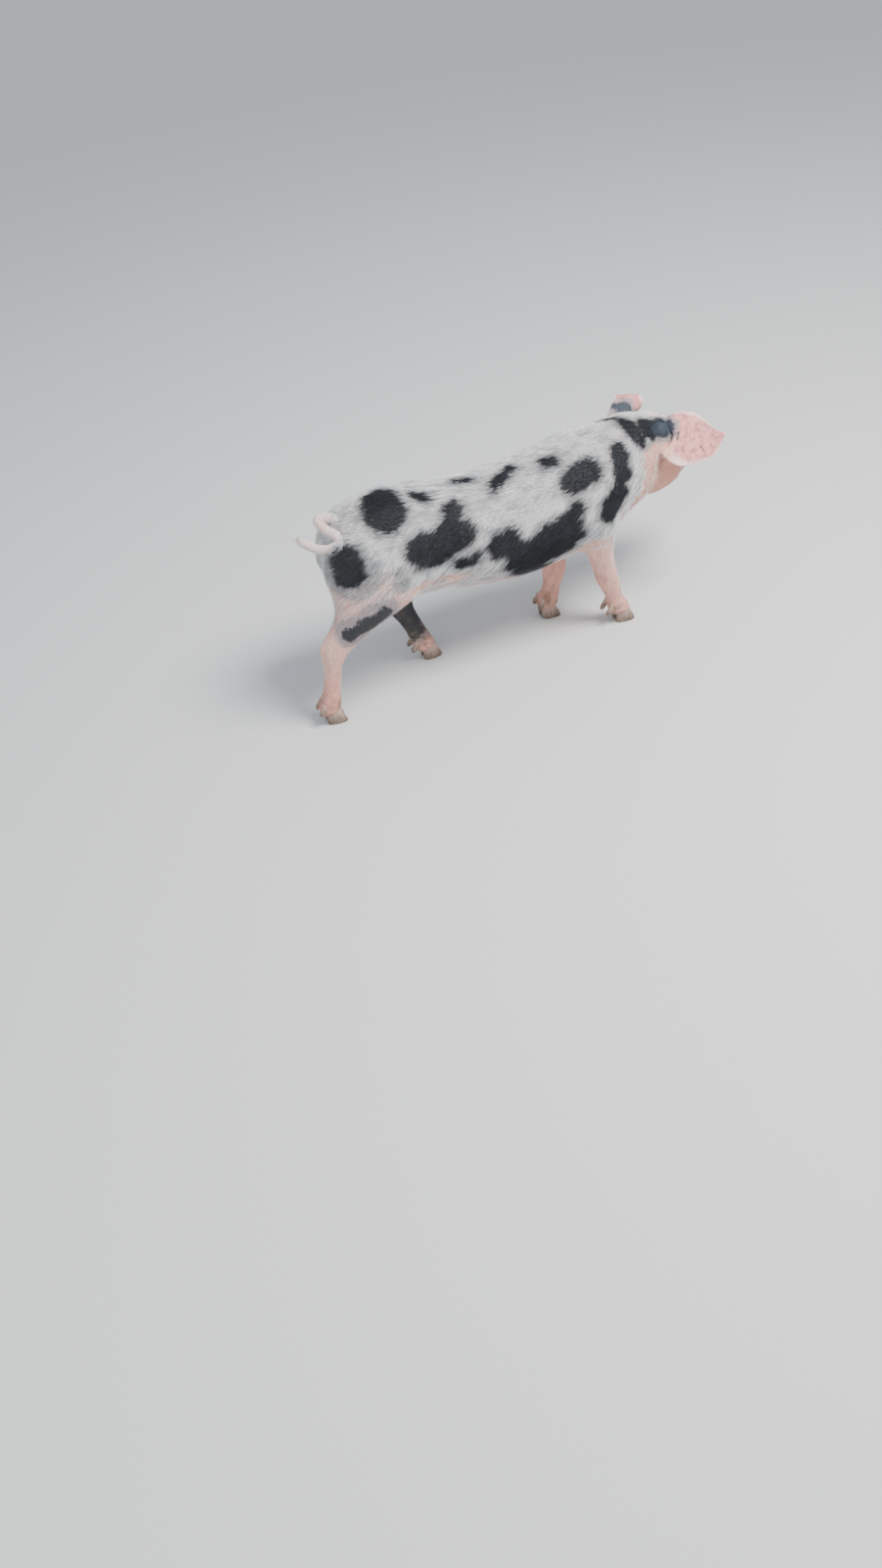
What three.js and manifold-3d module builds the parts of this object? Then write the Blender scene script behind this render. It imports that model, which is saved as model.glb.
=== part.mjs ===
// A young spotted domestic pig, standing in mid-walk, at life size, as a museum model.
//
// Millimetres. +Z is up and the floor is z = 0. The pig faces -Y, and +X is its left.
// The body is lofted from plain cross-sections: upright ones along the trunk, the neck and the head,
// and level ones down each leg. The lofts are joined into one core, and thin cuts part the core into
// the named pieces of the animal.

import * as THREE from "three";
import Module from "manifold-3d";
import { mergeVertices } from "three/addons/utils/BufferGeometryUtils.js";

const wasm = await Module();
wasm.setup();

// ---------------------------------------------------------------------------------------------
// Driving dimensions
// ---------------------------------------------------------------------------------------------

const GAP = 0.4; // the width of the cuts between neighbouring pieces
const FAR = 600; // further than any piece reaches

// Trunk and neck: upright sections, from the rump forwards.
// y, height of the back, height of the belly, half width, sideways shift, squareness
const TRUNK = [
  [345, 346, 320, 9, 0, 2],
  [340, 368, 292, 35, 0, 2.05],
  [326, 392, 264, 58, 0, 2.15],
  [304, 408, 243, 77, 0, 2.2],
  [266, 425, 224, 94, 0, 2.2],
  [212, 436, 213, 100, 0, 2.2],
  [150, 429, 206, 98, 0, 2.2],
  [80, 416, 193, 99, 0, 2.25],
  [10, 408, 180, 104, 0, 2.25],
  [-60, 411, 178, 107, 0, 2.25],
  [-130, 420, 183, 108, 0, 2.25],
  [-195, 429, 192, 105, 0, 2.2],
  [-240, 432, 201, 96, 0, 2.15],
  [-280, 434, 212, 84, 2, 2.1],
  [-320, 434, 227, 75, 8, 2.1],
  [-358, 425, 246, 70, 17, 2.1],
  [-390, 408, 262, 58, 28, 2.1],
  [-415, 385, 285, 36, 38, 2],
];

// Head: upright sections in the head's own frame, from inside the neck to the nose disc.
// y, height of the crown, height of the underside, half width, sideways shift, squareness
const HEAD = { at: [24, -368, 340], pitch: 15, yaw: 24, nose: -221 };
const SKULL = [
  [36, 68, -82, 54, 0, 2],
  [0, 75, -93, 65, 0, 2.1],
  [-26, 75, -97, 69, 0, 2.15],
  [-54, 67.5, -93, 67.5, 0, 2.15],
  [-82, 54, -84, 60.5, 0, 2.15],
  [-108, 41, -74.5, 51.5, 0, 2.15],
  [-134, 32, -65.5, 43.5, 0, 2.2],
  [-160, 28, -56, 37, 0, 2.3],
  [-182, 25.5, -46.5, 32.5, 0, 2.35],
  [-196, 25, -37, 30, 0, 2.3],
  [-205, 25, -29, 29.5, 0, 2.25],
  [-213, 27, -25, 31, 0, 2.2],
  [-218.5, 26.5, -24, 30.5, 0, 2.2],
  [-221, 24, -21.5, 28, 0, 2.2],
];
// The line of the mouth runs from its corner to the front, with a slight droop. The jaw ends at back.
const MOUTH = { corner: -130, front: -203, height: -25, droop: 2, back: -100, steps: 6 };
const NOSE_DISC_AT = -212;
const NOSTRIL = { side: 10.5, up: 1.5, radius: 5, tall: 1.25, deep: 9 };
const EYE = { radius: 11, at: [38.5, -99, 19] };

// Ears: a leaf along a drooping midline, in the head's frame, given for the right side.
// root, middle and rim are thicknesses. The leaf is rolled by furl at its root and by cup from open on,
// and has thinned to its middle thickness at thin. edge is how late it thins towards the rim.
const EAR_LEAF = { root: 6, middle: 3.6, rim: 2.4, furl: 1.9, cup: 0.2, open: 0.35, thin: 0.3, edge: 1.5 };
const EAR_RIGHT = {
  midline: [
    [-37, -19, 43],
    [-58, -26, 55],
    [-84, -50, 47],
    [-103, -87, 37],
    [-108, -121, 35],
    [-106, -149, 37],
  ],
  facing: [-0.78, 0.36, 0.51],
};
const EAR_LEFT = {
  midline: [
    [37, -19, 44],
    [56, -22, 62],
    [80, -30, 69],
    [104, -46, 59],
    [119, -68, 36],
    [125, -92, 8],
  ],
  facing: [0.6, 0.34, 0.72],
};
// share of the length, half width towards the forehead, half width towards the cheek
const EAR_OUTLINE = [
  [0, 20, 22],
  [0.12, 29, 48],
  [0.25, 39, 66],
  [0.42, 46, 67],
  [0.62, 40, 55],
  [0.8, 27, 38],
  [0.93, 13, 20],
  [1, 3, 4],
];

// Legs: level sections, from inside the trunk down to the claws.
// z, front y, back y, middle x (away from the midline), half width, squareness
const LEGS = {
  fore_right: {
    side: -1,
    sections: [
      [340, -250, -165, 48, 33, 2],
      [300, -262, -156, 61, 39, 2.1],
      [255, -263, -162, 69, 38, 2.2],
      [220, -255, -182, 69, 33, 2.2],
      [190, -252, -197, 66, 28, 2.2],
      [160, -258, -207, 62, 25.5, 2.1],
      [132, -265, -216, 58, 24, 2.1],
      [104, -272, -224, 55, 23.5, 2.2],
      [82, -277, -237, 53, 20, 2.1],
      [62, -283, -244, 51, 19, 2.1],
      [46, -291, -246, 50, 21.5, 2.2],
      [24, -298, -255, 49, 21, 2.2],
      [8, -296, -260, 49, 18, 2.2],
    ],
    foot: { y: -280, turn: 3 },
  },
  fore_left: {
    side: 1,
    sections: [
      [340, -245, -150, 50, 34, 2],
      [300, -256, -138, 62, 40, 2.1],
      [255, -250, -134, 69, 39, 2.2],
      [220, -238, -134, 69, 34, 2.2],
      [190, -226, -138, 66, 30, 2.2],
      [160, -214, -144, 62, 27, 2.1],
      [132, -207, -147, 58, 25, 2.1],
      [104, -202, -148, 55, 24, 2.2],
      [82, -192, -148, 53, 20.5, 2.1],
      [62, -182, -141, 51, 19, 2.1],
      [46, -178, -132, 50, 21.5, 2.2],
      [24, -171, -128, 49, 21, 2.2],
      [8, -166, -131, 49, 18, 2.2],
    ],
    foot: { y: -150, turn: -3 },
  },
  hind_right: {
    side: -1,
    sections: [
      [395, 205, 320, 40, 40, 2],
      [355, 150, 345, 52, 51, 2.1],
      [315, 130, 350, 59, 50, 2.2],
      [278, 136, 347, 63, 45, 2.2],
      [246, 164, 349, 64, 38, 2.2],
      [222, 206, 360, 63, 32, 2.2],
      [202, 248, 379, 60, 26.5, 2.1],
      [184, 286, 388, 58, 23.5, 2.1],
      [166, 318, 390, 57, 22, 2.1],
      [144, 344, 388, 56, 20, 2.1],
      [108, 354, 392, 54, 18, 2.1],
      [74, 362, 399, 52, 18.5, 2.1],
      [46, 366, 411, 51, 21.5, 2.2],
      [24, 372, 416, 50, 21, 2.2],
      [8, 375, 411, 50, 18, 2.2],
    ],
    foot: { y: 390, turn: 6 },
  },
  hind_left: {
    side: 1,
    sections: [
      [395, 195, 300, 40, 40, 2],
      [355, 142, 320, 52, 50, 2.1],
      [315, 114, 316, 59, 50, 2.2],
      [278, 98, 303, 63, 45, 2.2],
      [246, 92, 288, 64, 38, 2.2],
      [220, 100, 274, 63, 32, 2.2],
      [196, 122, 246, 61, 27, 2.1],
      [174, 140, 226, 60, 24, 2.1],
      [152, 150, 217, 59, 22, 2.1],
      [126, 149, 203, 58, 20, 2.1],
      [98, 140, 186, 56, 18, 2.1],
      [68, 130, 175, 54, 18.5, 2.1],
      [46, 121, 168, 53, 21.5, 2.2],
      [24, 116, 162, 52, 21, 2.2],
      [8, 117, 155, 52, 18, 2.2],
    ],
    foot: { y: 134, turn: 6 },
  },
};
// Where a leg is parted from the trunk: a point of the plane, its lean, and its reach along the body.
// midline is how far the cuts keep from the middle of the body.
const LEG_ROOT = {
  midline: 2,
  fore: { at: [66, 0, 196], lean: 38, reach: [-330, -110] },
  hind: { at: [66, 0, 232], lean: 38, reach: [84, 420] },
};
const FETLOCK = 60; // the height at which a leg gives way to its foot

// Where the trunk gives way to the neck, and the neck to the head, which is in the head's own frame.
const NECK_CUT = { at: [0, -262, 300], along: [0, -1, 0.16] };
const HEAD_CUT = { at: [0, 4, 0], along: [0, -1, 0] };

// Claws. apart is from the middle of the foot, and top is the height of the coronet.
const CLAW = { apart: 9.8, splay: 5, top: 27, tilt: 14, squareness: 2.4 };
// z, front reach, back reach, half width, all from the middle of the foot
const CLAW_SECTIONS = [
  [40, 12, 14, 8],
  [28, 15, 16, 8.8],
  [14, 22, 17, 9.3],
  [3, 27, 17, 9.4],
  [0, 26.5, 16.5, 9],
];
// height picks the leg's section that they sit on, and drop is how far below it.
const DEWCLAW = { apart: 13.5, behind: 23, height: 46, drop: 6, lean: 38, squareness: 2.1 };
const DEWCLAW_SECTIONS = [
  [12, 4, 4, 4],
  [4, 6, 6, 5.4],
  [-6, 6, 6, 5.4],
  [-12, 3.6, 3.6, 3.6],
];

// Tail: one curl to the right, from the root to the tip. x, y, z, radius
const TAIL = [
  [0, 280, 398, 10.5],
  [0, 300, 411, 10],
  [-3, 321, 422, 9.2],
  [-15, 335, 424, 8.6],
  [-34, 330, 416, 8.2],
  [-52, 316, 405, 7.8],
  [-61, 318, 393, 7.6],
  [-60, 334, 386, 7.2],
  [-52, 352, 390, 6.6],
  [-45, 368, 403, 5.8],
  [-41, 380, 418, 4.2],
];

// Mesh fineness: points round a section, and rings along a loft. Balls have segments round and up.
const FINE = {
  trunk: [24, 26],
  skull: [24, 22],
  leg: [14, 17],
  claw: [10, 4],
  dewclaw: [7, 4],
  tail: [8, 28],
  ear: [9, 13],
  nostril: [10, 8],
  eye: [12, 8],
};

const FINISHES = {
  hide: { color: 0xe3dcd5, roughness: 0.75 },
  bare: { color: 0xd9a79a, roughness: 0.7 },
  ear: { color: 0xd49c97, roughness: 0.7 },
  nose: { color: 0xd08a7c, roughness: 0.5 },
  horn: { color: 0x9a7b6a, roughness: 0.5 },
  eye: { color: 0x1d1512, roughness: 0.15 },
};

// ---------------------------------------------------------------------------------------------
// Shapes
// ---------------------------------------------------------------------------------------------

const { degToRad: degrees, lerp } = THREE.MathUtils;

// Values between stations, by a smooth curve through them. The first station is at 0, the last at 1.
function smooth(stations) {
  const places = stations.map((s) => Math.abs(s[0] - stations[0][0]));
  const curve = new THREE.CubicInterpolant(places, stations.flat(), stations[0].length);
  return (share) => Array.from(curve.evaluate(share * places.at(-1)));
}

// A point of a squared oval, whose upper and lower radii differ.
function ovalPoint(angle, across, above, below, squareness) {
  const c = Math.cos(angle);
  const s = Math.sin(angle);
  const power = 2 / squareness;
  return [
    across * Math.sign(c) * Math.abs(c) ** power,
    (s > 0 ? above : below) * Math.sign(s) * Math.abs(s) ** power,
  ];
}

// A closed geometry through rings of points, which turn anticlockwise as seen from the last ring's end.
function loft(rings) {
  const around = rings[0].length;
  const points = rings.flat();
  const middle = (ring) => ring.reduce((sum, p) => sum.add(p), new THREE.Vector3()).divideScalar(around);
  const first = points.push(middle(rings[0])) - 1;
  const last = points.push(middle(rings.at(-1))) - 1;
  const faces = [];
  for (let j = 0; j < around; j++) {
    const next = (j + 1) % around;
    for (let i = 0; i < rings.length - 1; i++) {
      const [a, b] = [i * around + j, i * around + next];
      faces.push(a, b, b + around, a, b + around, a + around);
    }
    const end = (rings.length - 1) * around;
    faces.push(first, next, j, last, end + j, end + next);
  }
  return new THREE.BufferGeometry().setFromPoints(points).setIndex(faces);
}

// Upright sections: stations are [y, top, bottom, half width, shift, squareness].
function uprightLoft(stations, [around, along], grow = 0) {
  const read = smooth(stations);
  const rings = [];
  for (let i = 0; i < along; i++) {
    const [y, top, bottom, across, shift, squareness] = read(i / (along - 1));
    const level = (top + bottom) / 2;
    const half = (top - bottom) / 2 + grow;
    const reach = i === 0 ? grow : i === along - 1 ? -grow : 0;
    rings.push(
      Array.from({ length: around }, (_, j) => {
        const [x, z] = ovalPoint((2 * Math.PI * j) / around, across + grow, half, half, squareness);
        return new THREE.Vector3(shift + x, y + reach, level + z);
      }),
    );
  }
  return loft(rings);
}

// Level sections: stations are [z, front y, back y, middle x, half width, squareness].
function levelLoft(stations, [around, along], grow = 0) {
  const read = smooth(stations);
  const rings = [];
  for (let i = 0; i < along; i++) {
    const [z, front, back, shift, across, squareness] = read(i / (along - 1));
    const half = (back - front) / 2 + grow;
    const reach = i === along - 1 ? -grow : 0;
    rings.push(
      Array.from({ length: around }, (_, j) => {
        const [x, y] = ovalPoint((2 * Math.PI * j) / around, across + grow, half, half, squareness);
        return new THREE.Vector3(shift + x, (front + back) / 2 - y, z + reach);
      }),
    );
  }
  return loft(rings);
}

// A tapering tube along a smooth path: stations are [x, y, z, radius].
function taperedTube(stations, [around, along]) {
  const path = new THREE.CatmullRomCurve3(stations.map(([x, y, z]) => new THREE.Vector3(x, y, z)));
  const frames = path.computeFrenetFrames(along - 1);
  const radii = smooth(stations.map((s, i) => [i, s[3]]));
  const rings = [];
  for (let i = 0; i < along; i++) {
    const share = i / (along - 1);
    const radius = radii(path.getUtoTmapping(share))[1];
    const centre = path.getPointAt(share);
    rings.push(
      Array.from({ length: around }, (_, j) => {
        const angle = (2 * Math.PI * j) / around;
        return centre
          .clone()
          .addScaledVector(frames.normals[i], radius * Math.cos(angle))
          .addScaledVector(frames.binormals[i], radius * Math.sin(angle));
      }),
    );
  }
  return loft(rings);
}

// An ear: a cupped leaf along its midline, thinner towards the rim. Its outer face looks along facing.
function earGeometry({ midline, facing }, side, [across, along]) {
  const path = new THREE.CatmullRomCurve3(midline.map((p) => new THREE.Vector3(...p)));
  const outline = smooth(EAR_OUTLINE);
  const rings = [];
  for (let i = 0; i < along; i++) {
    const share = i / (along - 1);
    const [, inner, outer] = outline(share);
    const forward = path.getTangentAt(share);
    const wide = new THREE.Vector3(...facing).cross(forward).normalize().multiplyScalar(side);
    const outward = forward.clone().cross(wide).normalize().multiplyScalar(side);
    const curl = lerp(EAR_LEAF.furl, EAR_LEAF.cup, Math.min(1, share / EAR_LEAF.open));
    const thick = lerp(EAR_LEAF.root, EAR_LEAF.middle, Math.min(1, share / EAR_LEAF.thin));
    const leaf = (place, face) => {
      const reach = place > 0 ? outer : inner;
      const bend = curl * place;
      const radius = reach / curl;
      const half = lerp(thick, EAR_LEAF.rim, Math.abs(place) ** EAR_LEAF.edge) / 2;
      return path
        .getPointAt(share)
        .addScaledVector(wide, radius * Math.sin(bend))
        .addScaledVector(outward, face * half - radius * (1 - Math.cos(bend)));
    };
    const places = Array.from({ length: across }, (_, j) => (2 * j) / (across - 1) - 1);
    const outside = places.map((place) => leaf(place, 1));
    const inside = places.map((place) => leaf(place, -1)).reverse();
    rings.push([...outside, ...inside]);
  }
  return loft(rings);
}

// ---------------------------------------------------------------------------------------------
// Solids
// ---------------------------------------------------------------------------------------------

// A geometry as a solid, turned inside out first where its faces point inwards.
function solid(geometry, matrix = new THREE.Matrix4()) {
  const bare = new THREE.BufferGeometry();
  bare.setAttribute("position", geometry.getAttribute("position"));
  if (geometry.index) bare.setIndex(geometry.index);
  const merged = mergeVertices(bare.clone().applyMatrix4(matrix), 1e-4);
  const vertProperties = new Float32Array(merged.attributes.position.array);
  const make = (triVerts) => new wasm.Manifold(new wasm.Mesh({ numProp: 3, vertProperties, triVerts }));
  const faces = new Uint32Array(merged.index.array);
  const made = make(faces);
  return made.volume() > 0 ? made : make(faces.reverse());
}

function geometryOf(made) {
  const { vertProperties, triVerts } = made.getMesh();
  return new THREE.BufferGeometry()
    .setAttribute("position", new THREE.BufferAttribute(new Float32Array(vertProperties), 3))
    .setIndex(new THREE.BufferAttribute(new Uint32Array(triVerts), 1));
}

// The half of space on the far side of a plane, as a big block. normal points into the block.
function halfSpace(point, normal) {
  const turn = new THREE.Quaternion().setFromUnitVectors(
    new THREE.Vector3(0, 0, 1),
    new THREE.Vector3(...normal).normalize(),
  );
  const matrix = new THREE.Matrix4().makeRotationFromQuaternion(turn).setPosition(...point);
  return solid(new THREE.BoxGeometry(3 * FAR, 3 * FAR, 2 * FAR).translate(0, 0, FAR), matrix);
}

// Parts a solid by a plane, with half the gap taken from each piece: first the one that normal points to.
function part(whole, point, normal) {
  const beyond = (side) => {
    const n = new THREE.Vector3(...normal).normalize().multiplyScalar(side);
    return halfSpace(new THREE.Vector3(...point).addScaledVector(n, GAP / 2).toArray(), n.toArray());
  };
  return [whole.intersect(beyond(1)), whole.intersect(beyond(-1))];
}

const largest = (made) =>
  made.decompose().reduce((best, piece) => (piece.volume() > best.volume() ? piece : best));

// A block between two corners.
function block(low, high) {
  const size = high.map((v, i) => v - low[i]);
  const middle = high.map((v, i) => (v + low[i]) / 2);
  return solid(new THREE.BoxGeometry(...size).translate(...middle));
}

// ---------------------------------------------------------------------------------------------
// The animal
// ---------------------------------------------------------------------------------------------

const headFrame = new THREE.Object3D();
headFrame.position.set(...HEAD.at);
headFrame.rotation.set(degrees(HEAD.pitch), 0, degrees(HEAD.yaw), "ZXY");
headFrame.updateMatrixWorld(true);
const headMatrix = headFrame.matrixWorld;
const inHead = (p) => new THREE.Vector3(...p).applyMatrix4(headMatrix).toArray();
const alongHead = (d) => new THREE.Vector3(...d).transformDirection(headMatrix).toArray();

const mirrored = (side) => new THREE.Matrix4().makeScale(side, 1, 1);

const trunkAndNeck = (grow) => solid(uprightLoft(TRUNK, FINE.trunk, grow));
const legFlesh = ({ side, sections }, grow) => solid(levelLoft(sections, FINE.leg, grow), mirrored(side));

const headFlesh = (grow) => solid(uprightLoft(SKULL, FINE.skull, grow), headMatrix);

// Everything of flesh but the ears and the tail.
function fleshCore(grow) {
  return Object.values(LEGS).reduce(
    (sum, leg) => sum.add(legFlesh(leg, grow)),
    trunkAndNeck(grow).add(headFlesh(grow)),
  );
}

const core = fleshCore(0);
const coreWithRoom = fleshCore(GAP);
const pieces = new Map();

// One claw, standing on the floor under its foot. inward is 1 for the inner claw and -1 for the outer.
function claw({ side, foot, sections }, inward) {
  const x = side * (sections.at(-1)[3] - inward * CLAW.apart);
  const stations = CLAW_SECTIONS.map(([z, front, back, across]) => {
    return [z, -front, back, 0, across, CLAW.squareness];
  });
  const turn = degrees(side * (foot.turn - inward * CLAW.splay));
  const matrix = new THREE.Matrix4().makeRotationZ(turn).setPosition(x, foot.y, 0);
  return solid(levelLoft(stations, FINE.claw), matrix);
}

// One dewclaw, behind the fetlock and cut clear of it.
function dewclaw(leg, inward) {
  const { side, sections } = leg;
  const [z, front, back, shift] = sections.find((s) => s[0] === DEWCLAW.height);
  const stations = DEWCLAW_SECTIONS.map(([h, ahead, behind, across]) => {
    return [h, -ahead, behind, 0, across, DEWCLAW.squareness];
  });
  const x = side * (shift - inward * DEWCLAW.apart);
  const y = (front + back) / 2 + DEWCLAW.behind;
  const matrix = new THREE.Matrix4()
    .makeRotationX(degrees(DEWCLAW.lean))
    .setPosition(x, y, z - DEWCLAW.drop);
  const whole = solid(levelLoft(stations, FINE.dewclaw), matrix);
  return largest(whole.subtract(legFlesh(leg, GAP)));
}

// The room that one leg has to itself: a tall block on its side of the midline.
function legLane({ side }, [front, back], grow) {
  const [inner, outer] = [LEG_ROOT.midline - grow, FAR];
  const [low, high] = side > 0 ? [inner, outer] : [-outer, -inner];
  return block([low, front - grow, -FAR], [high, back + grow, FAR]);
}

// Legs. Each is parted from the trunk by a slanting plane under the belly, and ends at the fetlock, where
// its foot begins.

let body = core;
for (const [name, leg] of Object.entries(LEGS)) {
  const { at, lean, reach } = LEG_ROOT[name.split("_")[0]];
  const root = [leg.side * at[0], at[1], at[2]];
  const under = [leg.side * Math.sin(degrees(lean)), 0, -Math.cos(degrees(lean))];
  const [below] = part(core, root, under);
  const wholeLeg = largest(below.intersect(legLane(leg, reach, 0)));
  const raised = root.map((v, i) => v - (under[i] * GAP) / 2);
  body = body.subtract(halfSpace(raised, under).intersect(legLane(leg, reach, GAP)));

  const [shank, foot] = part(wholeLeg, [0, 0, FETLOCK], [0, 0, 1]);
  pieces.set(`${name}_leg`, largest(shank));
  const coronet = [0, leg.foot.y, CLAW.top];
  const coronetUp = [0, Math.sin(degrees(CLAW.tilt)), Math.cos(degrees(CLAW.tilt))];
  const [flesh] = part(foot, coronet, coronetUp);
  pieces.set(`${name}_trotter`, largest(flesh));
  for (const [where, inward] of [["inner", 1], ["outer", -1]]) {
    const [, horn] = part(claw(leg, inward), coronet, coronetUp);
    pieces.set(`${name}_claw_${where}`, horn);
    pieces.set(`${name}_dewclaw_${where}`, dewclaw(leg, inward));
  }
}

// Trunk, neck and head.
const [afterNeck, trunk] = part(largest(body), NECK_CUT.at, NECK_CUT.along);
pieces.set("trunk", largest(trunk));
const [headWhole, neck] = part(largest(afterNeck), inHead(HEAD_CUT.at), alongHead(HEAD_CUT.along));
pieces.set("neck", largest(neck));

const discEdge = inHead([0, NOSE_DISC_AT, 0]);
const [discWhole, headLessDisc] = part(largest(headWhole), discEdge, alongHead(HEAD_CUT.along));

// The lower jaw, parted along the line of the mouth.
function jawBlock(grow) {
  const { corner, front, height, droop, back } = MOUTH;
  const outline = new THREE.Shape();
  outline.moveTo(corner + grow, height + grow);
  outline.quadraticCurveTo((corner + front) / 2, height - 2 * droop + grow, front - grow, height + grow);
  outline.lineTo(front - grow, -FAR / 2);
  outline.lineTo(back + grow, -FAR / 2);
  outline.closePath();
  const steps = { depth: FAR, bevelEnabled: false, curveSegments: MOUTH.steps };
  const wide = new THREE.ExtrudeGeometry(outline, steps).translate(0, 0, -FAR / 2);
  const upright = new THREE.Matrix4().makeBasis(
    new THREE.Vector3(0, 1, 0),
    new THREE.Vector3(0, 0, 1),
    new THREE.Vector3(1, 0, 0),
  );
  return solid(wide, headMatrix.clone().multiply(upright));
}
pieces.set("jaw", largest(headLessDisc.intersect(jawBlock(0))));
let head = largest(headLessDisc.subtract(jawBlock(GAP)));

// Nose disc with its two nostrils.
let disc = largest(discWhole);
for (const side of [-1, 1]) {
  const bore = new THREE.SphereGeometry(1, ...FINE.nostril);
  const place = new THREE.Matrix4()
    .makeTranslation(side * NOSTRIL.side, HEAD.nose, NOSTRIL.up)
    .scale(new THREE.Vector3(NOSTRIL.radius, NOSTRIL.deep, NOSTRIL.radius * NOSTRIL.tall));
  const hole = solid(bore, headMatrix.clone().multiply(place));
  disc = disc.subtract(hole);
}
pieces.set("nose_disc", largest(disc));

// Eyes in their sockets.
for (const [name, side] of [["right", -1], ["left", 1]]) {
  const [x, y, z] = EYE.at;
  const ball = (grow) =>
    solid(
      new THREE.SphereGeometry(EYE.radius + grow, ...FINE.eye),
      headMatrix.clone().multiply(new THREE.Matrix4().makeTranslation(side * x, y, z)),
    );
  head = largest(head.subtract(ball(GAP)));
  pieces.set(`eye_${name}`, ball(0));
}
pieces.set("head", head);

// Ears and tail, cut clear of the flesh that they grow from.
const grown = {
  ear_right: solid(earGeometry(EAR_RIGHT, -1, FINE.ear), headMatrix),
  ear_left: solid(earGeometry(EAR_LEFT, 1, FINE.ear), headMatrix),
  tail: solid(taperedTube(TAIL, FINE.tail)),
};
for (const [name, whole] of Object.entries(grown)) {
  pieces.set(name, largest(whole.subtract(coreWithRoom)));
}

// ---------------------------------------------------------------------------------------------
// Assembly
// ---------------------------------------------------------------------------------------------

// The first pattern that a name matches gives its finish.
const FINISH_OF = [
  [/claw/, "horn"],
  [/^eye/, "eye"],
  [/^ear/, "ear"],
  [/^nose/, "nose"],
  [/leg|trotter|tail/, "bare"],
  [/./, "hide"],
];

function materialFor(name) {
  const [, finish] = FINISH_OF.find(([pattern]) => pattern.test(name));
  return new THREE.MeshStandardMaterial({ ...FINISHES[finish], metalness: 0 });
}

const pig = new THREE.Group();
for (const [name, made] of pieces) {
  const mesh = new THREE.Mesh(geometryOf(made), materialFor(name));
  mesh.name = name;
  pig.add(mesh);
}

// The origin is on the floor, under the middle of the whole animal.
const box = new THREE.Box3().setFromObject(pig);
pig.position.set(-(box.min.x + box.max.x) / 2, -(box.min.y + box.max.y) / 2, 0);

export default pig;
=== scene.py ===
# A young spotted pig, standing in mid-walk, as a life-size display model.
#
# Metres. +Z is up, the pig faces -Y, and +X is its left. One skin stands for all the solids of flesh: it is
# remeshed from them, smoothed, modelled further, and sunk by the depth of the coat. Tufts of bristle lie
# over it. Skin and bristle take the black patches from the same strokes.

import bpy
import bmesh
import time
import numpy as np
from mathutils import Matrix, Vector
from mathutils.bvhtree import BVHTree


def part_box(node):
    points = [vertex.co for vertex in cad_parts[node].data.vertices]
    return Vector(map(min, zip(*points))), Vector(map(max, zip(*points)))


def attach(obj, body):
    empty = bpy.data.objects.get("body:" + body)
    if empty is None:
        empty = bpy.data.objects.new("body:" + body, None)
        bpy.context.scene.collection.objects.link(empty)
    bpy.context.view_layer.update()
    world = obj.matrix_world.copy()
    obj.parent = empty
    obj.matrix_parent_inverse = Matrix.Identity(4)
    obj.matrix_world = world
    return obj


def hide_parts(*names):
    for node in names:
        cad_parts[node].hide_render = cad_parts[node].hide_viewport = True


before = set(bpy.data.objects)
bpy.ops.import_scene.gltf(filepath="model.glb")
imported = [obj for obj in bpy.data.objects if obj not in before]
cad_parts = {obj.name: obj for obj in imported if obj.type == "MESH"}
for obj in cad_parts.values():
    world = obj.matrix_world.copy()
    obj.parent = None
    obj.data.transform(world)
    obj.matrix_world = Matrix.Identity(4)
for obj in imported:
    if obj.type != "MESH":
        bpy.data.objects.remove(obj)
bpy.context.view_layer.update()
startTime = time.time()
mm = 0.001


def report(text):
    print(f"[{time.time() - startTime:5.1f} s] {text}")


# Helpers for vectors, meshes and fields

def unit(v):
    v = np.asarray(v, float)
    return v / np.maximum(np.linalg.norm(v, axis=-1, keepdims=True), 1e-12)


def smoothStep(x, low, high):  # 0 below low, 1 above high, and an S curve between
    t = np.clip((x - low) / (high - low), 0, 1)
    return t * t * (3 - 2 * t)


def bell(x, width):  # 1 at 0, falling to near 0 at twice the width
    return np.exp(-(x / width) ** 2)


def hump(points, middle, reach):  # a soft round hump: 1 at its middle, near 0 past its reach
    return np.exp(-2 * (((points - np.array(middle)) / np.array(reach)) ** 2).sum(1))


def waves(points, size, seed, count=9):
    # Smooth noise from -1 to 1: a sum of sine waves in random directions.
    draw = np.random.default_rng(seed)
    ways = unit(draw.normal(size=(count, 3)))
    ways = ways * (2 * np.pi / size) * draw.uniform(0.6, 1.5, (count, 1))
    total = np.sin(points @ ways.T + draw.uniform(0, 2 * np.pi, count)).sum(1)
    return np.clip(total / np.sqrt(count) / 1.4, -1, 1)


def strokeDistance(points, start, end):  # distance from each point to a straight stroke
    start, end = np.array(start), np.array(end)
    along = end - start
    share = np.clip((points - start) @ along / max(along @ along, 1e-12), 0, 1)
    return np.linalg.norm(points - start - share[:, None] * along, axis=1)


def closeTo(points, places, reach):  # True for points within reach of any of some places
    return np.any([np.linalg.norm(points - np.array(place), axis=1) < reach for place in places], axis=0)


def folded(points):  # the right side laid over the left
    return np.column_stack([np.abs(points[:, 0]), points[:, 1:]])


def nearestOf(points, places):  # for each point, the number of the nearest place
    return np.argmin(((points[:, None] - places[None]) ** 2).sum(2), axis=1)


def vertexArray(mesh, field="co"):
    values = np.zeros(len(mesh.vertices) * 3, np.float32)
    mesh.vertices.foreach_get(field, values)
    return values.reshape(-1, 3).astype(float)


def edgeArray(mesh):
    values = np.zeros(len(mesh.edges) * 2, np.int32)
    mesh.edges.foreach_get("vertices", values)
    return values.reshape(-1, 2)


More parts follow.
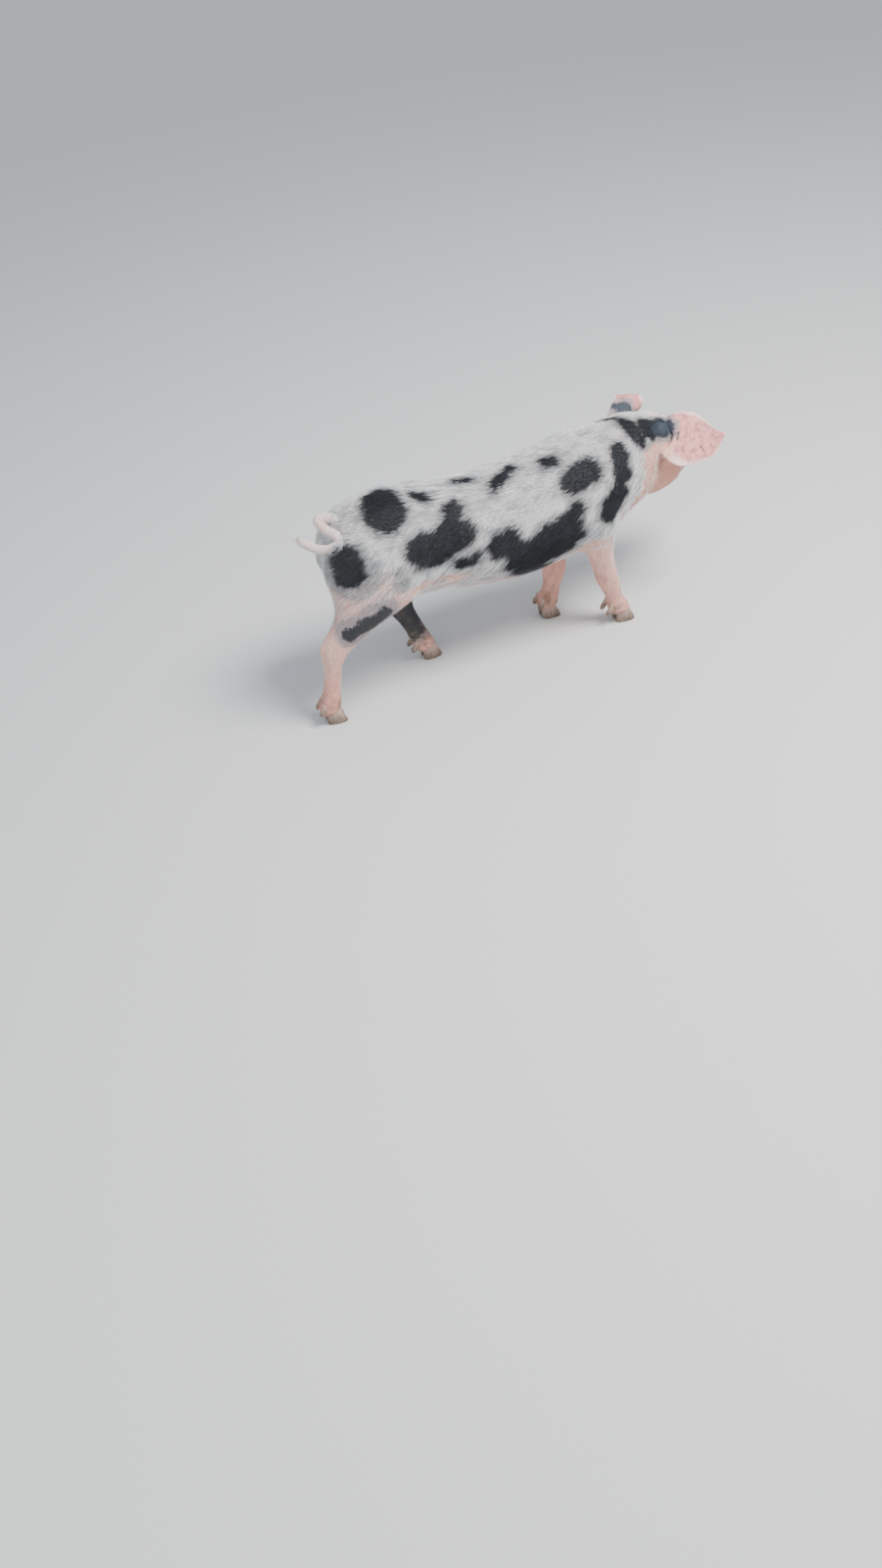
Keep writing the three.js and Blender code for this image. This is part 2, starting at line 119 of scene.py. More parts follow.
def triangleArray(mesh):
    mesh.calc_loop_triangles()
    values = np.zeros(len(mesh.loop_triangles) * 3, np.int32)
    mesh.loop_triangles.foreach_get("vertices", values)
    return values.reshape(-1, 3)


def shadeSmooth(mesh):
    mesh.polygons.foreach_set("use_smooth", [True] * len(mesh.polygons))


def meshOf(name, points, faces):  # a mesh from arrays; all its faces have as many corners
    mesh = bpy.data.meshes.new(name)
    mesh.vertices.add(len(points))
    mesh.vertices.foreach_set("co", np.asarray(points, np.float32).ravel())
    mesh.loops.add(faces.size)
    mesh.loops.foreach_set("vertex_index", faces.ravel().astype(np.int32))
    mesh.polygons.add(len(faces))
    mesh.polygons.foreach_set("loop_start", np.arange(len(faces), dtype=np.int32) * faces.shape[1])
    mesh.update(calc_edges=True)
    return mesh


def setVertices(mesh, points):
    mesh.vertices.foreach_set("co", np.asarray(points, np.float32).ravel())
    mesh.update()


def relax(values, edges, strength, rounds):
    # Each round moves every row by its strength towards the mean of its neighbours on the mesh.
    count = len(values)
    a, b = edges.T
    degree = np.maximum(np.bincount(edges.ravel(), minlength=count), 1)[:, None]
    strength = np.broadcast_to(strength, count)[:, None]
    for _ in range(rounds):
        total = np.stack([np.bincount(a, column[b], count) + np.bincount(b, column[a], count)
                          for column in values.T], 1)
        values = values + strength * (total / degree - values)
    return values


def store(mesh, name, values):  # a float attribute on the mesh's vertices
    attribute = mesh.attributes.get(name) or mesh.attributes.new(name, "FLOAT", "POINT")
    attribute.data.foreach_set("value", np.broadcast_to(values, len(mesh.vertices)).astype(np.float32))


def stored(mesh, name):
    values = np.zeros(len(mesh.vertices), np.float32)
    mesh.attributes[name].data.foreach_get("value", values)
    return values.astype(float)


def newPiece(name, mesh):
    piece = bpy.data.objects.new(name, mesh)
    bpy.context.scene.collection.objects.link(piece)
    return piece


def applied(piece):  # the piece with its modifiers made real
    made = bpy.data.meshes.new_from_object(piece.evaluated_get(bpy.context.evaluated_depsgraph_get()))
    piece.modifiers.clear()
    piece.data = made
    return piece


def copyOfNodes(name, nodes, swell):  # the CAD nodes' meshes as one new piece, welded and swollen a little
    bm = bmesh.new()
    for node in nodes:
        bm.from_mesh(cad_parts[node].data)
    bmesh.ops.remove_doubles(bm, verts=bm.verts, dist=0.001 * mm)
    mesh = bpy.data.meshes.new(name)
    bm.to_mesh(mesh)
    bm.free()
    setVertices(mesh, vertexArray(mesh) + vertexArray(mesh, "normal") * swell)
    return newPiece(name, mesh)


def remeshed(piece, voxel):
    modifier = piece.modifiers.new("Remesh", "REMESH")
    modifier.mode = "VOXEL"
    modifier.voxel_size = voxel
    return applied(piece)


# Reading the frame

def boxMiddle(node):
    low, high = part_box(node)
    return (np.array(low) + np.array(high)) / 2


# The head's own frame: X to the pig's left, -Y along the muzzle, Z to the crown.
headPlan = {
    "eyes": (0, -0.099, 0.019),    # midpoint between the eyes
    "nose": (0, -0.2165, 0.0015),  # middle of the nose disc
}


def headFrame():  # its axes as columns, and its origin, from where the eyes and the nose disc are
    eyeRight, eyeLeft, nose = boxMiddle("eye_right"), boxMiddle("eye_left"), boxMiddle("nose_disc")
    side = unit(eyeLeft - eyeRight)
    fromNose = unit((eyeLeft + eyeRight) / 2 - nose)
    over = np.cross(side, fromNose)
    plan = np.array(headPlan["eyes"]) - np.array(headPlan["nose"])
    slope = np.arctan2(plan[2], plan[1])
    back = np.cos(slope) * fromNose - np.sin(slope) * over
    up = np.sin(slope) * fromNose + np.cos(slope) * over
    turn = np.stack([side, back, up], 1)
    return turn, (eyeLeft + eyeRight) / 2 - turn @ np.array(headPlan["eyes"])


headTurn, headOrigin = headFrame()


def toHead(points):
    return (points - headOrigin) @ headTurn


def fromHead(points):
    return points @ headTurn.T + headOrigin


legNames = ["fore_right", "fore_left", "hind_right", "hind_left"]
midline = boxMiddle("trunk")[0]  # the body's middle plane, in X


def toBody(points):  # millimetres from the midline
    return (points - [midline, 0, 0]) / mm


# The skin is one mesh for all the flesh.
# What differs from region to region, in millimetres.
#   soften  how far facets and creases are rounded      depth    how far the skin lies under the coat's tips
#   length  of the hairs                                 width    of a tuft at its root
#   spacing between roots                                rise     of the tips over the skin
regions = {
    "trunk":   {"soften": 17, "depth": 3.2, "length": 16, "width": 0.85, "spacing": 2.32, "rise": 2.9},
    "neck":    {"soften": 14, "depth": 3.0, "length": 13, "width": 0.8, "spacing": 2.3, "rise": 2.6},
    "head":    {"soften": 6, "depth": 0.8, "length": 6.5, "width": 0.5, "spacing": 2.1, "rise": 0.9},
    "ear":     {"soften": 0, "depth": 0.0, "length": 4.5, "width": 0.4, "spacing": 2.9, "rise": 0.6},
    "tail":    {"soften": 0, "depth": 0.2, "length": 6.5, "width": 0.45, "spacing": 1.9, "rise": 0.8},
    "leg":     {"soften": 6, "depth": 0.9, "length": 7.5, "width": 0.6, "spacing": 2.4, "rise": 1.0},
    "trotter": {"soften": 3, "depth": 0.1, "length": 5.0, "width": 0.5, "spacing": 2.4, "rise": 0.6},
}
fleshNodes = {
    "trunk": ["trunk"],
    "neck": ["neck"],
    "head": ["head", "jaw", "nose_disc"],
    "ear": ["ear_right", "ear_left"],
    "tail": ["tail"],
    "leg": [f"{leg}_leg" for leg in legNames],
    "trotter": [f"{leg}_trotter" for leg in legNames],
}
skinPlan = {
    "voxel": 5.0 * mm,
    "swell": 0.6 * mm,  # closes the cuts between the solids
    "rounds": 50,       # of smoothing
    "blur": 16,         # rounds by which neighbouring regions run into each other
    "legRoots": (0.15, 0.2, 17),      # between these heights the legs' rounding grows to so many millimetres
    "face": ((0, -0.08, 0), 0.17, 9),  # in this ball of the head's frame it is no more than so many
    "sliver": 0.15 * mm,  # edges shorter than this go, where ears and tail join
    "fillet": 7 * mm,     # reach of the rounding there
    "filletRounds": 12,
}
regionNumber = {name: number for number, name in enumerate(regions)}


def solidsTree():  # a search tree over the flesh, and for each of its faces the number of the region
    points, faces, labels = [], [], []
    for name, label in regionNumber.items():
        for node in fleshNodes[name]:
            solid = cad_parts[node].data
            faces += [[len(points) + i for i in polygon.vertices] for polygon in solid.polygons]
            labels += [label] * len(solid.polygons)
            points += [v.co for v in solid.vertices]
    return BVHTree.FromPolygons(points, faces), np.array(labels)


def regionShares(mesh):
    # For each vertex, its share of each region: 1 for the region of the nearest solid, then blurred.
    tree, labels = solidsTree()
    nearest = [tree.find_nearest(v.co)[2] for v in mesh.vertices]
    return relax(np.eye(len(regions))[labels[nearest]], edgeArray(mesh), 0.5, skinPlan["blur"])


def regional(shares, key):  # a region's value at each vertex, blended by its shares
    return shares @ np.array([region[key] for region in regions.values()])


def buildBase():  # trunk, neck, head and legs, with no facets left
    nodes = [node for name in fleshNodes if name not in ("ear", "tail") for node in fleshNodes[name]]
    nodes += ["eye_right", "eye_left"]  # they fill their sockets, and the lids are made later
    piece = remeshed(copyOfNodes("skin", nodes, skinPlan["swell"]), skinPlan["voxel"])
    mesh = piece.data
    soften = regional(regionShares(mesh), "soften")
    low, high, width = skinPlan["legRoots"]
    soften = np.maximum(soften, width * smoothStep(vertexArray(mesh)[:, 2], low, high))
    middle, reach, most = skinPlan["face"]
    onFace = closeTo(toHead(vertexArray(mesh)), [middle], reach)
    soften = np.where(onFace, np.minimum(soften, most), soften) * mm / skinPlan["voxel"]
    strength = np.minimum(2 * soften ** 2 / skinPlan["rounds"], 0.6)
    setVertices(mesh, relax(vertexArray(mesh), edgeArray(mesh), strength, skinPlan["rounds"]))
    return piece


def splineThrough(knots, places):
    # A smooth curve through rows of numbers, evenly spaced from 0 to 1: Catmull-Rom, with straight ends.
    knots = np.asarray(knots, float)
    knots = np.vstack([2 * knots[0] - knots[1], knots, 2 * knots[-1] - knots[-2]])
    t = np.clip(places, 0, 1) * (len(knots) - 3)
    i = np.minimum(t.astype(int), len(knots) - 4)
    t = (t - i)[:, None]
    a, b, c, d = (knots[i + k] for k in range(4))
    square, cube = 2 * a - 5 * b + 4 * c - d, 3 * b - a - 3 * c + d
    return 0.5 * (2 * b + (c - a) * t + square * t ** 2 + cube * t ** 3)


def closedTube(name, rings):  # rings[i, j] are points; the ends are closed to their middles
    along, around = rings.shape[:2]
    points = np.vstack([rings.reshape(-1, 3), rings[0].mean(0), rings[-1].mean(0)])
    i, j = np.meshgrid(np.arange(along - 1), np.arange(around), indexing="ij")
    a, b = i * around + j, i * around + (j + 1) % around
    faces = np.stack([a, b, b + around, a + around], -1).reshape(-1, 4).tolist()
    j = np.arange(around)
    last = (along - 1) * around
    faces += np.stack([(j + 1) % around, j, j * 0 + along * around], 1).tolist()
    faces += np.stack([last + j, last + (j + 1) % around, j * 0 + along * around + 1], 1).tolist()
    mesh = bpy.data.meshes.new(name)
    mesh.from_pydata(points.tolist(), [], faces)
    bm = bmesh.new()
    bm.from_mesh(mesh)
    bmesh.ops.recalc_face_normals(bm, faces=bm.faces)
    bm.to_mesh(mesh)
    bm.free()
    return newPiece(name, mesh)


def joinPieces(name, pieces):  # several pieces as one, with their float attributes
    bm = bmesh.new()
    for piece in pieces:
        bm.from_mesh(piece.data)
        bpy.data.objects.remove(piece)
    mesh = bpy.data.meshes.new(name)
    bm.to_mesh(mesh)
    bm.free()
    return newPiece(name, mesh)


# Ears: a cupped leaf along a drooping midline, in the head's frame and in millimetres.
earPlan = {
    "ear_right": {
        "midline": [(-37, -19, 43), (-58, -26, 55), (-84, -50, 47), (-103, -87, 37), (-108, -121, 35),
                    (-106, -149, 37)],
        "facing": (-0.78, 0.36, 0.51),
        "twist": (0, 0, 0),
        "side": -1,
        "outline": [(0, 20, 21), (0.12, 29, 28), (0.2, 35, 50), (0.28, 40, 69), (0.42, 43, 75),
                    (0.62, 30, 47), (0.77, 16, 21), (0.87, 8.5, 10), (0.95, 4.5, 6), (1, 1, 1.5)],
        "lobe": (24, 11),
        "lobeFrom": (0.12, 0.3),
    },
    "ear_left": {
        "midline": [(37, -19, 44), (54, -18, 65), (72, -26, 83), (88, -47, 84), (100, -70, 61),
                    (110, -95, 14)],
        "facing": (0.27, 0.12, 0.96),
        "twist": (-0.15, -0.3, -0.1),
        "side": 1,
        "outline": [(0, 20, 24), (0.12, 31, 46), (0.2, 38, 45), (0.3, 40, 32), (0.45, 36, 17),
                    (0.62, 37, 16), (0.77, 34, 17), (0.87, 22, 14), (0.95, 9, 7), (1, 1, 1.5)],
        "lobe": (2, 4),
        "lobeFrom": (0.05, 0.27),
    },
    # midline: from the root to the tip; facing: the way its back looks, and twist what its end adds to that
    # outline: share of the length, half width towards the forehead, half width towards the cheek
    # lobe: how far the lobe by the cheek hangs back and stands off; lobeFrom: the shares where it begins
    "twistFrom": (0.4, 0.75),
    "lobeTo": (0.3, 0.8),
    "thickness": (6, 3.4, 2.2),    # at the root, the middle and the rim
    "furl": 1.9,                   # how far the root is rolled, in radians
    "cup": 0.2,                    # how far the open leaf is rolled
    "open": 0.26,                  # where along the ear the leaf is open
    "ripple": (1.6, 9),            # height and rate of the waves of the rim
    "veins": (0.35, 3.2, 0.16),    # height, number across, and width, of the veins on its back
    "grid": (72, 84),              # points along and around
}
earNames = ("ear_right", "ear_left")


def earAxes(name, u):
    # Points along an ear's midline, and there the ways along it, across it and out of its back.
    plan = earPlan[name]
    middle = splineThrough(plan["midline"], u)
    ahead = unit(np.gradient(middle, axis=0))
    facing = plan["facing"] + np.outer(smoothStep(u, *earPlan["twistFrom"]), plan["twist"])
    wide = unit(np.cross(facing, ahead)) * plan["side"]
    return middle, ahead, wide, unit(np.cross(ahead, wide)) * plan["side"]


def buildEar(name):
    # A leaf: u runs along the midline, v across it, and both faces lie half a thickness off that surface.
    plan = earPlan[name]
    along, around = earPlan["grid"]
    u = np.linspace(0, 1, along) ** 1.1
    middle, ahead, wide, outward = earAxes(name, u)
    outline = np.array(plan["outline"])
    place = np.interp(u, outline[:, 0], np.linspace(0, 1, len(outline)))
    place = np.convolve(np.pad(place, 4, "edge"), np.ones(9) / 9, "valid")
    inner, outer = splineThrough(outline[:, 1:], place).T
    curl = np.interp(u, [0, earPlan["open"]], [earPlan["furl"], earPlan["cup"]])[:, None]
    angle = np.linspace(0, 2 * np.pi, around, endpoint=False)
    v = np.cos(angle)[None, :]
    face = (np.sin(angle) / np.sqrt(np.sin(angle) ** 2 + 0.03))[None, :]  # -1 inside, 1 on the back
    root, centre, rim = earPlan["thickness"]
    half = np.interp(u, [0, 0.3], [root, centre])[:, None] / 2
    half = half + (rim / 2 - half) * np.abs(v) ** 1.5
    radius = np.where(v > 0, outer[:, None], inner[:, None]) / curl
    high, rate = earPlan["ripple"]
    ripple = high * np.abs(v) ** 3 * np.sin(rate * u + 2 * np.sign(v[0, 0]))[:, None]
    ripple = ripple * smoothStep(u, 0.15, 0.4)[:, None]
    high, count, width = earPlan["veins"]
    vein = high * bell((v * count + 0.4 * np.sin(5 * u)[:, None]) % 1 - 0.5, width)
    vein = vein * (face > 0) * smoothStep(u, 0.02, 0.2)[:, None] * smoothStep(-u, -0.8, -0.5)[:, None]
    height = face * half + ripple + vein - radius * (1 - np.cos(curl * v))
    rings = (middle[:, None] + wide[:, None] * (radius * np.sin(curl * v))[..., None]
             + outward[:, None] * height[..., None])
    lobe = smoothStep(u, *plan["lobeFrom"]) - smoothStep(u, *earPlan["lobeTo"])
    lobe = (np.clip(v, 0, 1) ** 2 * lobe[:, None])[..., None]
    back, off = plan["lobe"]
    rings = rings - ahead[:, None] * back * lobe + outward[:, None] * off * lobe
    return closedTube(name + "_leaf", fromHead(rings.reshape(-1, 3) * mm).reshape(rings.shape))


# The tail is one curl: x from the midline, y, z and the radius, in millimetres.
tailPlan = {
    "origin": (0, 77.3, 0),        # what the knots are measured from
    "knots": [(0, 280, 398, 10.8), (0, 299, 411, 10.4), (-4, 316, 421, 9.8), (-16, 328, 423, 9.3),
              (-36, 323, 415, 9.0), (-54, 309, 405, 8.8), (-64, 311, 394, 8.7), (-64, 328, 389, 8.5),
              (-56, 350, 393, 8.2), (-47, 368, 405, 7.8), (-41, 380, 417, 6.8)],
    "wrinkle": (0.16, 3.4),        # depth and spacing of the creases round it
    "grid": (150, 22),
}


def tailPath(places):  # points along the middle of the tail, and its radius there in millimetres
    path = splineThrough(tailPlan["knots"], places)
    return (path[:, :3] + tailPlan["origin"]) * mm + np.array([midline, 0, 0]), path[:, 3]


def buildTail():
    # A tapering tube along a smooth path, with fine creases round it and a rounded tip.
    along, around = tailPlan["grid"]
    middle, thick = tailPath(np.linspace(0, 1, along))
    ahead = unit(np.gradient(middle, axis=0))
    length = np.concatenate([[0], np.cumsum(np.linalg.norm(np.diff(middle, axis=0), axis=1))]) / mm
    side = np.empty_like(ahead)
    side[0] = (1, 0, 0)
    for i in range(1, along):
        side[i] = unit(side[i - 1] - ahead[i] * (side[i - 1] @ ahead[i]))
    over = np.cross(ahead, side)
    deep, spacing = tailPlan["wrinkle"]
    tip = np.sqrt(np.clip((length[-1] - length) / thick[-1], 0.02, 1))
    radius = (thick - deep * (1 + np.cos(2 * np.pi * length / spacing))) * tip * mm
    angle = np.linspace(0, 2 * np.pi, around, endpoint=False)
    ring = side[:, None] * np.cos(angle)[None, :, None] + over[:, None] * np.sin(angle)[None, :, None]
    return closedTube("tail_tube", middle[:, None] + radius[:, None, None] * ring)


def treeOf(piece):
    return BVHTree.FromPolygons([v.co for v in piece.data.vertices],
                                [tuple(p.vertices) for p in piece.data.polygons])


def growOn(body, growths):
    # Joins ears and tail to the body, and rounds the line where they meet.
    bodyTree, growthTrees = treeOf(body), [treeOf(growth) for growth in growths]
    for growth in growths:
        modifier = body.modifiers.new("Join", "BOOLEAN")
        modifier.operation = "UNION"
        modifier.solver = "MANIFOLD"
        modifier.object = growth
    applied(body)
    for growth in growths:
        bpy.data.objects.remove(growth)
    bm = bmesh.new()
    bm.from_mesh(body.data)
    bmesh.ops.triangulate(bm, faces=bm.faces)
    bmesh.ops.dissolve_degenerate(bm, edges=bm.edges, dist=skinPlan["sliver"])
    bmesh.ops.holes_fill(bm, edges=[edge for edge in bm.edges if edge.is_boundary])
    bmesh.ops.triangulate(bm, faces=bm.faces)
    bm.to_mesh(body.data)
    bm.free()
    reach = skinPlan["fillet"]

    def distances(tree):  # from each vertex to the tree, or infinite past the reach
        found = [tree.find_nearest(v.co, reach)[3] for v in body.data.vertices]
        return np.array([np.inf if far is None else far for far in found])

    nearBoth = np.maximum(distances(bodyTree), np.min([distances(tree) for tree in growthTrees], axis=0))
    strength = 0.5 * (1 - smoothStep(nearBoth, 0.3 * reach, reach))
    rounds = skinPlan["filletRounds"]
    setVertices(body.data, relax(vertexArray(body.data), edgeArray(body.data), strength, rounds))


def refine(piece, chosen):
    # Splits every edge between chosen vertices at its middle: a triangle with one, two or three of its
    # edges split becomes two, three or four.
    mesh = piece.data
    points = vertexArray(mesh)
    corners = triangleArray(mesh)
    pairs = np.sort(np.stack([corners, np.roll(corners, -1, 1)], 2).reshape(-1, 2), axis=1)
    edges, which = np.unique(pairs, axis=0, return_inverse=True)
    isSplit = chosen[edges].all(1)
    middle = np.where(isSplit, len(points) + np.cumsum(isSplit) - 1, -1)[which].reshape(-1, 3)
    points = np.vstack([points, points[edges[isSplit]].mean(1)])
    count = (middle >= 0).sum(1)
    # each triangle is turned so that its one split edge comes first, or its one whole edge comes last
    afterWhole = ((middle < 0).argmax(1) + 1) % 3
    first = np.where(count == 1, (middle >= 0).argmax(1), np.where(count == 2, afterWhole, 0))
    turned = (first[:, None] + np.arange(3)) % 3
    a, b, c = np.take_along_axis(corners, turned, 1).T
    ab, bc, ca = np.take_along_axis(middle, turned, 1).T
    patterns = {0: [(a, b, c)], 1: [(a, ab, c), (ab, b, c)], 2: [(ab, b, bc), (a, ab, bc), (a, bc, c)],
                3: [(a, ab, ca), (ab, b, bc), (ca, bc, c), (ab, bc, ca)]}
    faces = [np.stack(face, 1)[count == splits] for splits, made in patterns.items() for face in made]
    piece.data = meshOf(mesh.name, points, np.vstack(faces))
    bpy.data.meshes.remove(mesh)


# Soft forms of the body, pushed along the skin's normals on both sides: the middle's x outwards from the
# midline, y and z; the reach along each; and the height, all in millimetres.
bodyForms = {
    "hip":            [(52, 250, 428), (26, 45, 26), 3.0],
    "loin":           [(0, 190, 436), (16, 120, 20), -1.6],
    "withers":        [(0, -150, 436), (22, 70, 20), 1.5],
    "shoulderBlade":  [(88, -145, 360), (30, 55, 60), 4.0],
    "behindShoulder": [(100, -65, 300), (30, 26, 70), -3.5],
    "flank":          [(96, 200, 290), (30, 40, 45), -4.0],
    "tailHead":       [(24, 375, 395), (18, 26, 26), -2.5],
    "buttock":        [(52, 408, 330), (30, 30, 45), 3.5],
    "cleft":          [(0, 424, 330), (9, 40, 60), -7.0],
    "crotchFront":    [(24, 300, 222), (17, 44, 20), 9.0],
    "crotchBack":     [(26, 366, 240), (18, 44, 24), 9.0],
    "dock":           [(0, 412, 372), (12, 20, 14), 3.5],
    "vent":           [(0, 424, 371), (4.5, 12, 4.5), -5.0],
    "brisket":        [(0, -175, 196), (30, 60, 26), 9.0],
    "armpit":         [(34, -130, 200), (16, 40, 20), -3.0],
    "throatHollow":   [(40, -232, 268), (50, 26, 34), -7.0],
}
# The same for the legs: x from the leg's own middle, where across its depth from -1, its front, to 1, its
# back, and z.
legForms = {
    "elbow":    ["fore", (0, 0.9, 205), (22, 16, 22), 4.0],
    "carpus":   ["fore", (0, -0.6, 102), (20, 16, 16), 2.0],
    "pastern":  ["fore", (0, 0, 66), (30, 30, 12), -1.2],
    "fetlock":  ["fore", (0, 0.7, 48), (16, 14, 12), 1.8],
    "knee":     ["hind", (0, -0.8, 262), (24, 26, 30), 4.0],
    "hock":     ["hind", (0, 0.9, 182), (9, 12, 22), 2.5],
    "hollow":   ["hind", (0, 0.45, 212), (40, 12, 22), -3.0],
    "shankTop": ["hind", (0, 0.0, 152), (24, 20, 20), 1.0],
    "ankle":    ["hind", (0, 0.7, 48), (16, 14, 12), 1.8],
}


def legAxis(leg, height):  # middle x, middle y and half the depth of a leg at a height, from its solids
    points = np.vstack([vertexArray(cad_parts[f"{leg}_{piece}"].data) for piece in ("leg", "trotter")])
    near = points[np.abs(points[:, 2] - height) < 16 * mm]
    low, high = near.min(0), near.max(0)
    return (low[0] + high[0]) / 2, (low[1] + high[1]) / 2, (high[1] - low[1]) / 2


def shapeBody(points, normals):
    push = np.zeros(len(points))
    bothSides = folded(points - [midline, 0, 0])
    for middle, reach, height in bodyForms.values():
        push += height * mm * hump(bothSides, np.array(middle) * mm, np.array(reach) * mm)
    for end, (x, place, z), reach, height in legForms.values():
        for leg in (name for name in legNames if name.startswith(end)):
            middle, y, depth = legAxis(leg, z * mm)
            place3 = (middle + x * mm, y + place * depth, z * mm)
            push += height * mm * hump(points, place3, np.array(reach) * mm)
    return points + normals * push[:, None]


# The feet, in millimetres: the cleft between the toes, the toes' own swell, and the coronet over the claws.
footPlan = {
    "cleft": {"depth": 3.4, "width": 2.6, "from": 64, "to": 40},
    "toe": [(0, -4, 9), (9, 15, 13), 1.7],   # from the claw's middle and top, reach and height
    "coronet": {"height": 1.1, "reach": 3.2, "above": 3.5},
    "foot": (45, 90),                        # how far from the claws, and how high, a foot reaches
}


def clawMiddles(leg):
    return [boxMiddle(f"{leg}_claw_{place}") for place in ("inner", "outer")]


def shapeFeet(points, normals):
    push = np.zeros(len(points))
    cleft, coronet = footPlan["cleft"], footPlan["coronet"]
    around, high = (measure * mm for measure in footPlan["foot"])
    for leg in legNames:
        claws = clawMiddles(leg)
        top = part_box(f"{leg}_claw_inner")[1][2]
        middle = (claws[0] + claws[1]) / 2
        here = (np.linalg.norm((points - middle)[:, :2], axis=1) < around) & (points[:, 2] < high)
        groove = bell((points[:, 0] - middle[0]) / mm, cleft["width"]) * here
        push -= cleft["depth"] * groove * smoothStep(-points[:, 2] / mm, -cleft["from"], -cleft["to"])
        offset, reach, height = (np.array(measure) for measure in footPlan["toe"])
        for claw in claws:
            toe = np.array([claw[0], claw[1], top]) + offset * mm
            push += height * hump(points, toe, reach * mm) * here
        above = (points[:, 2] - top) / mm - coronet["above"]
        push += coronet["height"] * bell(above, coronet["reach"]) * here
    return points + normals * push[:, None] * mm


# The face, in the head's frame and in millimetres.
facePlan = {
    # form: middle, reach and height, on both sides of the head
    "forms": {
        "brow":       [(44, -93, 36), (12, 20, 9), 4.6],
        "cheekbone":  [(50, -98, 1), (14, 22, 9), 3.2],
        "tearHollow": [(37, -122, 16), (10, 12, 10), -2.2],
        "forehead":   [(20, -66, 66), (22, 26, 18), 2.4],
        "dish":       [(0, -116, 40), (24, 30, 14), -2.6],
        "jowl":       [(58, -50, -48), (20, 36, 30), 5.5],
        "cheek":      [(50, -102, -34), (16, 24, 20), 2.6],
        "muzzleSide": [(36, -160, -6), (10, 26, 9), -2.0],
        "whiskerPad": [(33, -186, -10), (10, 16, 10), 2.0],
        "underChin":  [(0, -150, -66), (16, 40, 16), -2.2],
        "chin":       [(0, -188, -44), (14, 12, 8), 1.8],
        "throat":     [(0, -30, -96), (26, 40, 18), 3.0],
    },
    "mouth": {"corner": -127, "front": -212, "height": -25.5, "rise": 7, "width": 1.1, "depth": 3.0},
    "lips": (1.7, 0.9),            # how far the upper and the lower lip stand out
    "disc": {"middle": (0, -221, 1.5), "half": (30, 25), "rim": 1.3, "dish": 1.2, "groove": 1.5},
    "nostril": {"side": 10.5, "up": 2, "half": (4.6, 6.4), "deep": 9, "lean": 18, "rim": 0.9},
    "snoutFolds": {"from": -207, "to": -172, "spacing": 6.5, "height": 0.42},
    "furrow": (1.6, 0.7),          # half the width and the depth of the furrow down the disc
    "grain": (7, 0.5),             # size and height of the unevenness of the disc
    "wander": (16, 1.3),           # how the folds and creases stray: over what distance, and how far
    "eye": {"look": (0.84, -0.47, 0.24), "slit": (0.42, 0.86, 0.22), "lid": 1.3, "half": (7.4, 3.7),
            "reach": 15, "fold": 1.3, "crest": 0.7, "rim": 0.45, "sunk": 5.5},
    # folds round the eye: how far from its middle, how deep, and half the width
    "eyeFolds": [(14.5, 1.3, 1.2), (18.5, 1.1, 1.4), (23, 0.7, 1.7)],
    # creases: from and to, half the width and the depth, on both sides of the head
    "creases": {
        "mouthCorner":  [(52, -122, -12), (56, -112, -26), 2.2, 1.5],
        "mouthCorner2": [(54, -114, -8), (59, -102, -24), 2.6, 1.1],
        "underEye":     [(42, -122, 6), (34, -142, 0), 2.4, 1.1],
        "browIn":       [(24, -104, 44), (34, -112, 34), 2.4, 1.3],
        "browLine":     [(14, -98, 50), (18, -114, 42), 2.4, 1.0],
        "jowlLine":     [(66, -30, -20), (50, -62, -66), 4.5, 1.6],
        "jowlLine2":    [(70, -6, -24), (52, -34, -84), 5.5, 1.6],
    },
}
eyeRadius = (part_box("eye_left")[1][2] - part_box("eye_left")[0][2]) / 2


def eyeAxes(side):
    # An eye's middle in the head's frame, and its axes: along the slit, up across it, and the way it looks.
    middle = toHead(boxMiddle("eye_left" if side > 0 else "eye_right"))
    flip = np.array([side, 1, 1])
    look = unit(np.array(facePlan["eye"]["look"]) * flip)
    slit = np.array(facePlan["eye"]["slit"]) * flip
    slit = unit(slit - look * (slit @ look))
    up = np.cross(look, slit) * side
    return middle, np.stack([slit, up, look], 1)


def eyeFront(side):  # the front of an eyeball, in the head's frame
    middle, axes = eyeAxes(side)
    return middle + axes[:, 2] * eyeRadius


def mouthLevel(y):  # the height of the line between the lips, in the head's frame and in millimetres
    mouth = facePlan["mouth"]
    return mouth["height"] + mouth["rise"] * smoothStep(y, mouth["corner"] - 22, mouth["corner"] + 4)


def lidGape(x):  # half the height of the opening between the lids, at x along the slit
    halfLong, halfHigh = facePlan["eye"]["half"]
    return halfHigh * np.clip(1 - (np.abs(x) / halfLong) ** 2.2, 0, None) ** 0.75


def faceForms(local):  # how far the broad forms, creases and folds round the eyes stand out
    half = folded(local)
    size, stray = facePlan["wander"]
    wander = stray * waves(local, size, 61)
    push = np.zeros(len(local))
    for middle, reach, height in facePlan["forms"].values():
        push += height * hump(half, middle, reach)
    for start, end, width, depth in facePlan["creases"].values():
        far = strokeDistance(half, start, end) + wander
        push -= depth * (bell(far, width) - 0.45 * bell(far - 2 * width, width))
    for side in (-1, 1):
        middle, axes = eyeAxes(side)
        x, y, z = ((local - middle / mm) @ axes).T
        far = np.hypot(x / 1.12, y) + wander
        # below the eye, and above its inner corner
        sector = smoothStep(-y, -2, 7) + 0.8 * smoothStep(y, 4, 10) * smoothStep(x, -14, 4)
        for radius, depth, width in facePlan["eyeFolds"]:
            push -= depth * sector * (z > -8) * bell(far - radius, width)
            push += 0.5 * depth * sector * (z > -8) * bell(far - radius + 2.1, width)
    return push


